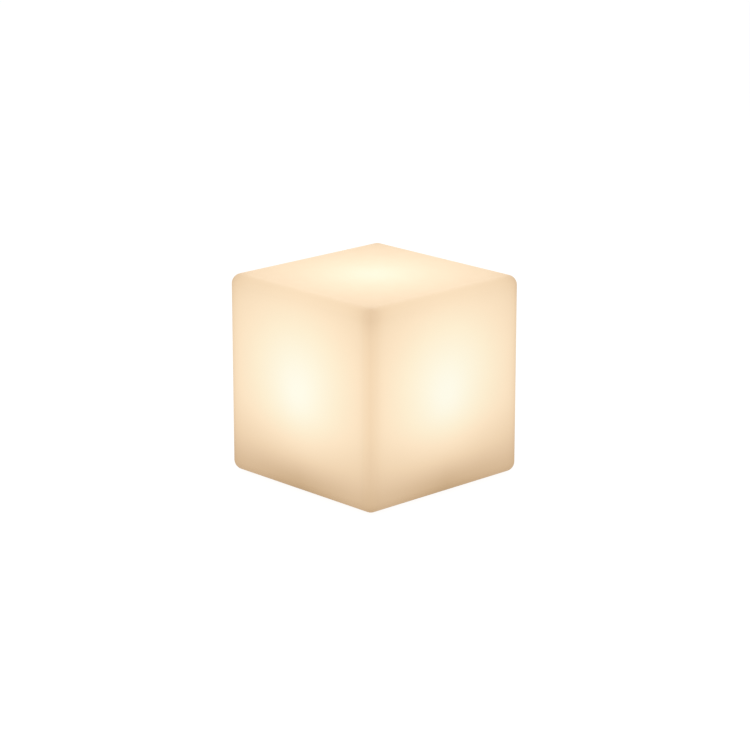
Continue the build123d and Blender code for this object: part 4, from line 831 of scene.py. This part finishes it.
def solid(name, stacks, body, slot):
    """A piece from stacks of shape (copies, rows, points, 3). Point k of row j is joined
    to point k + 1 of its loop and to the same two of row j + 1, which makes one
    four-sided face. The first and the last loop of each copy are closed by a face."""
    corners, faces, start = [], [], 0
    for stack in stacks:
        copies, rows, points, _ = stack.shape
        copy = start + np.arange(copies)[:, None, None] * rows * points
        row = np.arange(rows - 1)[None, :, None] * points
        point = np.arange(points)[None, None, :]
        here, following = copy + row + point, copy + row + (point + 1) % points
        sides = np.stack([here, following, following + points, here + points], -1)
        faces += sides.reshape(-1, 4).tolist()
        first = copy[:, 0] + np.arange(points)
        faces += first[:, ::-1].tolist() + (first + (rows - 1) * points).tolist()
        corners.append(stack.reshape(-1, 3))
        start += copies * rows * points
    corners = np.concatenate(corners)
    mesh = bpy.data.meshes.new(name)
    mesh.from_pydata(corners.tolist(), [], faces)
    shape = bmesh.new()
    shape.from_mesh(mesh)
    bmesh.ops.remove_doubles(shape, verts=shape.verts, dist=WELD)
    bmesh.ops.dissolve_degenerate(shape, edges=shape.edges, dist=WELD)
    bmesh.ops.recalc_face_normals(shape, faces=shape.faces)
    shape.to_mesh(mesh)
    shape.free()
    mesh.polygons.foreach_set("use_smooth", np.ones(len(mesh.polygons), bool))
    mesh.set_sharp_from_angle(angle=SHARP_ANGLE)
    mesh.materials.append(finishes[slot])
    piece = bpy.data.objects.new(name, mesh)
    bpy.context.collection.objects.link(piece)
    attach(piece, body)
    low, high = np.round(corners.min(0) / MM, 2), np.round(corners.max(0) / MM, 2)
    print(name, len(mesh.polygons), "faces, from", low, "to", high, "mm")
    return piece


Y_AXIS, Z_AXIS = 1, 2


def circle(count):
    """Cosine and sine of evenly spaced angles once round."""
    angle = np.linspace(0, 2 * np.pi, count, endpoint=False)
    return np.cos(angle), np.sin(angle)


def rounded(count, power):
    """A rounded rectangle, half sizes 1: cosine and sine to a power, signs kept."""
    return [np.sign(wave) * np.abs(wave) ** power for wave in circle(count)]


# %% [markdown]
# ## Grip ribs
#
# The hand turns the light unit by the bar across its dish, so real bars have ribs on
# both flanks. A rib is a long pill that is half sunk in the flank. Its outline is a
# superellipse: width = the eighth root of (1 - t to the eighth), with t from -1 at one
# end to 1 at the other, which is full over most of the length and round at the ends.

# %% Ribs on the bar and ridges on the door
PILL_LOOPS, PILL_POINTS = 13, 12


def pills(centres, half_size, along):
    """Pills round many centres. Loop j lies at t = sin of an even angle, and its points
    are the centre plus cosine and sine times the half sizes across, both times the
    superellipse width at t."""
    t = np.sin(np.linspace(-np.pi / 2, np.pi / 2, PILL_LOOPS))
    width = (1 - np.abs(t) ** 8) ** (1 / 8)
    cosine, sine = circle(PILL_POINTS)
    first, second = [axis for axis in range(3) if axis != along]
    loops = np.zeros((len(centres), PILL_LOOPS, PILL_POINTS, 3))
    loops += np.asarray(centres)[:, None, None, :]
    loops[..., along] += (t * half_size[along])[None, :, None]
    loops[..., first] += half_size[first] * width[:, None] * cosine
    loops[..., second] += half_size[second] * width[:, None] * sine
    return loops


def spaced(count, pitch):
    """Evenly spaced places round zero."""
    return (np.arange(count) - (count - 1) / 2) * pitch


BAR_FLANK, RIB_PITCH, RIB_COUNT = 14.0 * MM, 4.0 * MM, 17
RIB_LOW, RIB_HIGH = 4.6 * MM, 12.4 * MM
RIB_HALF = (0.8 * MM, 0.9 * MM, (RIB_HIGH - RIB_LOW) / 2)
rib_x, rib_middle = spaced(RIB_COUNT, RIB_PITCH), (RIB_LOW + RIB_HIGH) / 2
rib_centres = [(x, side * BAR_FLANK, rib_middle) for side in (-1, 1) for x in rib_x]
solid("grip_ribs", [pills(rib_centres, RIB_HALF, Z_AXIS)], "light_unit", "white_abs")

door_low, door_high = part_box("charge_door")
RIDGE_HALF = (0.45 * MM, 5.0 * MM, 0.3 * MM)
RIDGES_IN = np.array([2.6, 4.2, 5.8]) * MM
ridge_centres = [(x, 0.0, door_low.z) for x in door_high.x - RIDGES_IN]
solid("door_pull_ridges", [pills(ridge_centres, RIDGE_HALF, Y_AXIS)], "door", "white_abs")

# %% [markdown]
# ## Raised signs
#
# Signs that anyone can read need no words: a triangle, a padlock open or closed, an
# arrow, and a bolt at the charging door. Each is a thin plate whose outline is drawn in
# a flat frame and then laid on the underside. The last loop is drawn in a little
# towards the middle, and that gives the plate its bevel.

# %% Plates and strips in a flat frame
SIGN_RELIEF, SIGN_ROOT = 0.2 * MM, 0.1 * MM


def plate(outline, face_z, bevel=0.9):
    """Three loops of one outline (points, 2): sunk in the face, just under its full
    height, and at full height drawn in towards the middle by the bevel's share."""
    middle = outline.mean(0)
    heights = face_z + np.array([SIGN_ROOT, -0.7 * SIGN_RELIEF, -SIGN_RELIEF])
    shares = np.array([1.0, 1.0, bevel])
    flat = middle + (outline - middle)[None] * shares[:, None, None]
    tall = np.broadcast_to(heights[:, None, None], flat.shape[:2] + (1,))
    return np.concatenate([flat, tall], -1)[None]


def strip(path, half_width, face_z):
    """A rectangle carried along a flat path (points, 2). Each loop is the path's point
    plus and minus its half width along the normal, at the sunk and the raised height."""
    run = np.gradient(path, axis=0)
    normal = np.stack([-run[:, 1], run[:, 0]], -1) / np.linalg.norm(run, axis=1, keepdims=True)
    reach = normal * np.broadcast_to(half_width, len(path))[:, None]
    low, high = face_z + SIGN_ROOT, face_z - SIGN_RELIEF
    flat = np.stack([path - reach, path + reach, path + reach, path - reach], 1)
    tall = np.broadcast_to(np.array([low, low, high, high])[None, :, None], flat.shape[:2] + (1,))
    return np.concatenate([flat, tall], -1)[None]


def lay_round(stack, angle_degrees, radius):
    """Turns a sign that was drawn round (0, 0), with its top along +y, so that it lies at
    an angle and a radius with its top outwards."""
    angle = math.radians(angle_degrees)
    outwards = np.array([math.cos(angle), math.sin(angle)])
    sideways = np.array([math.sin(angle), -math.cos(angle)])
    placed = stack.copy()
    placed[..., :2] = stack[..., :1] * sideways + (stack[..., 1:2] + radius) * outwards
    return placed


# %% Triangle, padlock, arrow and bolt
TRIANGLE = np.array([(-1.5, 1.2), (1.5, 1.2), (0.0, -1.4)]) * MM
BOLT = [(1.2, 4.6), (-2.6, -0.6), (-0.2, -0.6), (-1.2, -4.6), (2.6, 0.8), (0.2, 0.8)]
SHACKLE_HALF, HEAD_FROM, SHAFT_HALF, HEAD_HALF = 0.24 * MM, 0.8, 0.45, 1.7


def padlock(face_z, turned):
    """A rounded block with a shackle, in mm: a half ring on two legs. On an open padlock
    the shackle is moved aside, so that one leg stands free."""
    across, up = rounded(24, 0.4)
    block = np.stack([across * 1.6, up * 1.25 - 0.9], -1)
    angle = np.linspace(0, np.pi, 17)
    half_ring = np.stack([np.cos(angle), np.sin(angle) + 1.1], -1)
    shackle = np.concatenate([[(1.0, 0.9 if turned else 0.2)], half_ring, [(-1.0, 0.2)]])
    shackle[:, 0] += 2.0 if turned else 0.0
    return [plate(block * MM, face_z), strip(shackle * MM, SHACKLE_HALF, face_z)]


def arrow(radius, start_degrees, end_degrees, face_z):
    """An arc with a head: the half width is even, then jumps out and falls to nothing."""
    shaft = np.linspace(0, HEAD_FROM, 25)
    share = np.concatenate([shaft, [HEAD_FROM + 0.0001], np.linspace(0.85, 1.0, 8)])
    angle = np.radians(start_degrees + (end_degrees - start_degrees) * share)
    path = np.stack([np.cos(angle), np.sin(angle)], -1) * radius
    head = HEAD_HALF * (1.0 - share) / (1.0 - HEAD_FROM)
    return strip(path, np.where(share <= HEAD_FROM, SHAFT_HALF, head) * MM, face_z)


# %% Signs on the drum's rim, the ring and the door
RIM_FACE, RING_FACE = drum_low.z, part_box("mounting_ring")[0].z
LOCK_ANGLES, UNLOCK_TURN = (292.5, 112.5), 45.0
POINTER_RADIUS, ARROW_RADIUS = 62.0 * MM, 59.5 * MM
MARK_RADIUS, PADLOCK_RADIUS = 71.0 * MM, 75.6 * MM
ARROW_FROM, ARROW_TO = 6.0, 39.0
drum_signs, ring_signs = [], []
for lock in LOCK_ANGLES:
    drum_signs.append(lay_round(plate(-TRIANGLE, RIM_FACE), lock, POINTER_RADIUS))
    drum_signs.append(arrow(ARROW_RADIUS, lock - ARROW_FROM, lock - ARROW_TO, RIM_FACE))
    for angle, turned in ((lock, False), (lock - UNLOCK_TURN, True)):
        ring_signs.append(lay_round(plate(TRIANGLE, RING_FACE), angle, MARK_RADIUS))
        for piece in padlock(RING_FACE, turned):
            ring_signs.append(lay_round(piece, angle, PADLOCK_RADIUS))
solid("turn_signs", drum_signs, "light_unit", "grey_button")
solid("ring_marks", ring_signs, "shell_body", "grey_button")

BOLT_BEVEL, BOLT_ASIDE = 0.86, 0.5 * MM
bolt = plate(np.array(BOLT) * MM, door_low.z, BOLT_BEVEL)
bolt[..., 0] += (door_low.x + door_high.x) / 2 + BOLT_ASIDE
solid("charge_sign", [bolt], "door", "grey_button")

# %% [markdown]
# ## Drops of phosphor
#
# On each of the 36 lamps stands a low drop of phosphor. A drop is a dome over a
# rounded rectangle: the outline shrinks as the cosine of an angle, and the height grows
# as its sine. One dome is worked out with its top along +x. The others are the same
# array with its axes turned.

# %% Phosphor drops
DOME_HALF, DOME_ROOT, DOME_POINTS = (0.35 * MM, 1.3 * MM, 1.0 * MM), 0.1 * MM, 16


def domes(centres):
    """Domes whose top is along +x, over a rounded rectangle."""
    rise = np.linspace(0, np.pi / 2, 6)
    y, z = rounded(DOME_POINTS, 0.6)
    outline = np.stack([0 * y, y * DOME_HALF[1], z * DOME_HALF[2]], -1)
    dome = np.zeros((1 + len(rise), DOME_POINTS, 3))
    dome[0] = outline - (DOME_ROOT, 0, 0)
    dome[1:] = np.cos(rise)[:, None, None] * outline
    dome[1:, :, 0] = (np.sin(rise) * DOME_HALF[0])[:, None]
    return dome[None] + np.asarray(centres)[:, None, None, :]


COLUMNS, ROWS = spaced(2, 10.0 * MM), spaced(4, 8.0 * MM)
front_low, front_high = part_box("led_board_front")
lamp_level = (front_low.z + front_high.z) / 2
right = domes([(chips_high.x, y, lamp_level + z) for y in COLUMNS for z in ROWS])
back = right[..., [1, 0, 2]]
top = domes([(chips_high.z, y, z) for y in COLUMNS for z in COLUMNS])[..., [1, 2, 0]]
mirror_x, mirror_y = np.array([-1.0, 1.0, 1.0]), np.array([1.0, -1.0, 1.0])
solid("led_domes", [right, right * mirror_x, back, back * mirror_y, top], "light_unit", "led_lamp")

# %% [markdown]
# ## Contacts, resistors and chip legs
#
# The charging socket has twelve gilded contacts on each side of its tongue. The board
# carries small resistors with tinned ends, and two of its chips stand on bent legs. A
# contact or resistor is a rounded outline carried straight, and a leg is a rectangle
# carried along a bent path.

# %% Contacts of the charging socket
BAR_POINTS = 8


def bars(starts, ends, half_width, half_thickness):
    """Straight bars with a rounded rectangle as outline, carried from start to end along
    x or z. The width lies along y, and the thickness along the axis that is left."""
    starts, ends = np.asarray(starts), np.asarray(ends)
    across, up = rounded(BAR_POINTS, 0.35)
    run_axis = int(np.argmax(np.abs(ends - starts)[0]))
    thick_axis = Z_AXIS - run_axis
    share = np.array([0.0, 0.04, 0.96, 1.0])
    size = np.array([0.8, 1.0, 1.0, 0.8])
    loops = starts[:, None, None] + (ends - starts)[:, None, None] * share[None, :, None, None]
    loops = np.repeat(loops, BAR_POINTS, axis=2)
    loops[..., Y_AXIS] += size[:, None] * across * half_width
    loops[..., thick_axis] += size[:, None] * up * half_thickness
    return loops


core_low, core_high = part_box("socket_core")
tongue_x, tongue_tip = (core_low.x + core_high.x) / 2, core_low.z
CONTACT_PITCH, CONTACT_COUNT, TONGUE_HALF = 0.5 * MM, 12, 0.35 * MM
CONTACT_HALF = (0.14 * MM, 0.05 * MM)
contact_low, contact_high = tongue_tip + 0.5 * MM, tongue_tip + 4.2 * MM
contact_y = spaced(CONTACT_COUNT, CONTACT_PITCH)
faces_x = (tongue_x - TONGUE_HALF, tongue_x + TONGUE_HALF)
starts = [(x, y, contact_low) for x in faces_x for y in contact_y]
ends = [(x, y, contact_high) for x, y, _ in starts]
solid("socket_contacts", [bars(starts, ends, *CONTACT_HALF)], "light_unit", "brass")

# %% Resistors and chip legs on the board
board_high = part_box("control_board")[1]
RESISTOR_PLACES = np.array([
    (-14, 3.5), (-14, 6.5), (-27, 4), (-31, 7), (-31, 11), (-12, 11), (-12, 15), (-4, 12), (-4, 16),
    (4, 12), (4, 16), (10, 16), (10, 8), (27, 17), (27, 9), (31, 12), (8, -6), (8, -10), (12, -15),
    (3, -15), (-2, -18), (-15, -18), (30, -4), (30, 4), (-34, 4), (-34, -4),
]) * MM
RESISTOR_HALF, RESISTOR_LIFT, END_LENGTH = 0.8 * MM, 0.24 * MM, 0.35 * MM
MIDDLE_HALF, MIDDLE_OVERLAP, END_HALF = (0.38 * MM, 0.21 * MM), 1.1, (0.42 * MM, 0.24 * MM)
lift = np.full(len(RESISTOR_PLACES), board_high.z + RESISTOR_LIFT)
mounted = np.column_stack([RESISTOR_PLACES, lift])
reach, inner = np.array([RESISTOR_HALF, 0, 0]), np.array([RESISTOR_HALF - END_LENGTH, 0, 0])
under_ends = inner * MIDDLE_OVERLAP
middles = bars(mounted - under_ends, mounted + under_ends, *MIDDLE_HALF)
end_bars = [
    bars(mounted + low, mounted + high, *END_HALF)
    for low, high in ((-reach, -inner), (inner, reach))
]
solid("resistors", [middles], "light_unit", "black_plastic")
solid("solder_ends", end_bars, "light_unit", "stainless")


def legs(centre, half_chip, offsets):
    """Bent legs on both sides of a chip. A rectangle follows the path out, down and out."""
    path_x = np.array([-0.1, 0.35, 0.55, 0.65, 1.15]) * MM
    path_z = np.array([0.75, 0.75, 0.55, 0.10, 0.10]) * MM
    half, thick = 0.2 * MM, 0.07 * MM
    y = np.array([-half, half, half, -half])
    z = np.array([-thick, -thick, thick, thick])
    one = np.zeros((len(path_x), 4, 3))
    one[..., 0], one[..., 1] = path_x[:, None] + half_chip, y
    one[..., 2] = path_z[:, None] + z
    both = np.stack([one, one * mirror_x])
    shifts = np.array([(0, offset, 0) for offset in offsets])
    placed = both[:, None] + shifts[None, :, None, None, :] + np.array([*centre, board_high.z])
    return placed.reshape(-1, len(path_x), 4, 3)


DRIVER_CHIP, DRIVER_HALF, DRIVER_PITCH = (18.0 * MM, 12.0 * MM), 3.0 * MM, 1.27 * MM
CHARGE_CHIP, CHARGE_HALF, CHARGE_PITCH = (-20.0 * MM, 10.0 * MM), 2.5 * MM, 1.0 * MM
driver_legs = legs(DRIVER_CHIP, DRIVER_HALF, spaced(4, DRIVER_PITCH))
charge_legs = legs(CHARGE_CHIP, CHARGE_HALF, spaced(4, CHARGE_PITCH))
solid("chip_legs", [driver_legs, charge_legs], "light_unit", "stainless")

# %% [markdown]
# ## Return spring
#
# When the button goes in, its spring gets shorter, and a fixed coil would cut into the
# button's lip. A coil of the same size takes the place of the solid model's: a round
# wire along a helix, where x and y go round a circle while z rises evenly. At each
# point the section lies in the plane of the outward direction and of the one across the
# run.

# %% Coil in the place of the solid model's spring
WIRE_RADIUS, COIL_RADIUS, COIL_TURNS = 0.25 * MM, 4.6 * MM, 2.5
COIL_STEPS, WIRE_POINTS = 121, 12
spring_low, spring_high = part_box("button_spring")
room = spring_high.z - spring_low.z
angle = np.linspace(0, 2 * np.pi * COIL_TURNS, COIL_STEPS)
slope = (room - 2 * WIRE_RADIUS) / (2 * np.pi * COIL_TURNS)
outwards = np.stack([np.cos(angle), np.sin(angle), 0 * angle], -1)
run = np.stack([-np.sin(angle) * COIL_RADIUS, np.cos(angle) * COIL_RADIUS, slope + 0 * angle], -1)
run /= np.linalg.norm(run, axis=1, keepdims=True)
upwards = np.cross(outwards, run)
middle_line = outwards * COIL_RADIUS
middle_line[:, 2] = spring_low.z + WIRE_RADIUS + slope * angle
cosine, sine = circle(WIRE_POINTS)
ring = cosine[None, :, None] * outwards[:, None] + sine[None, :, None] * upwards[:, None]
wire = (middle_line[:, None] + WIRE_RADIUS * ring)[None]
coil = solid("return_spring", [wire], "light_unit", "stainless")
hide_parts("button_spring")
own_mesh(coil)
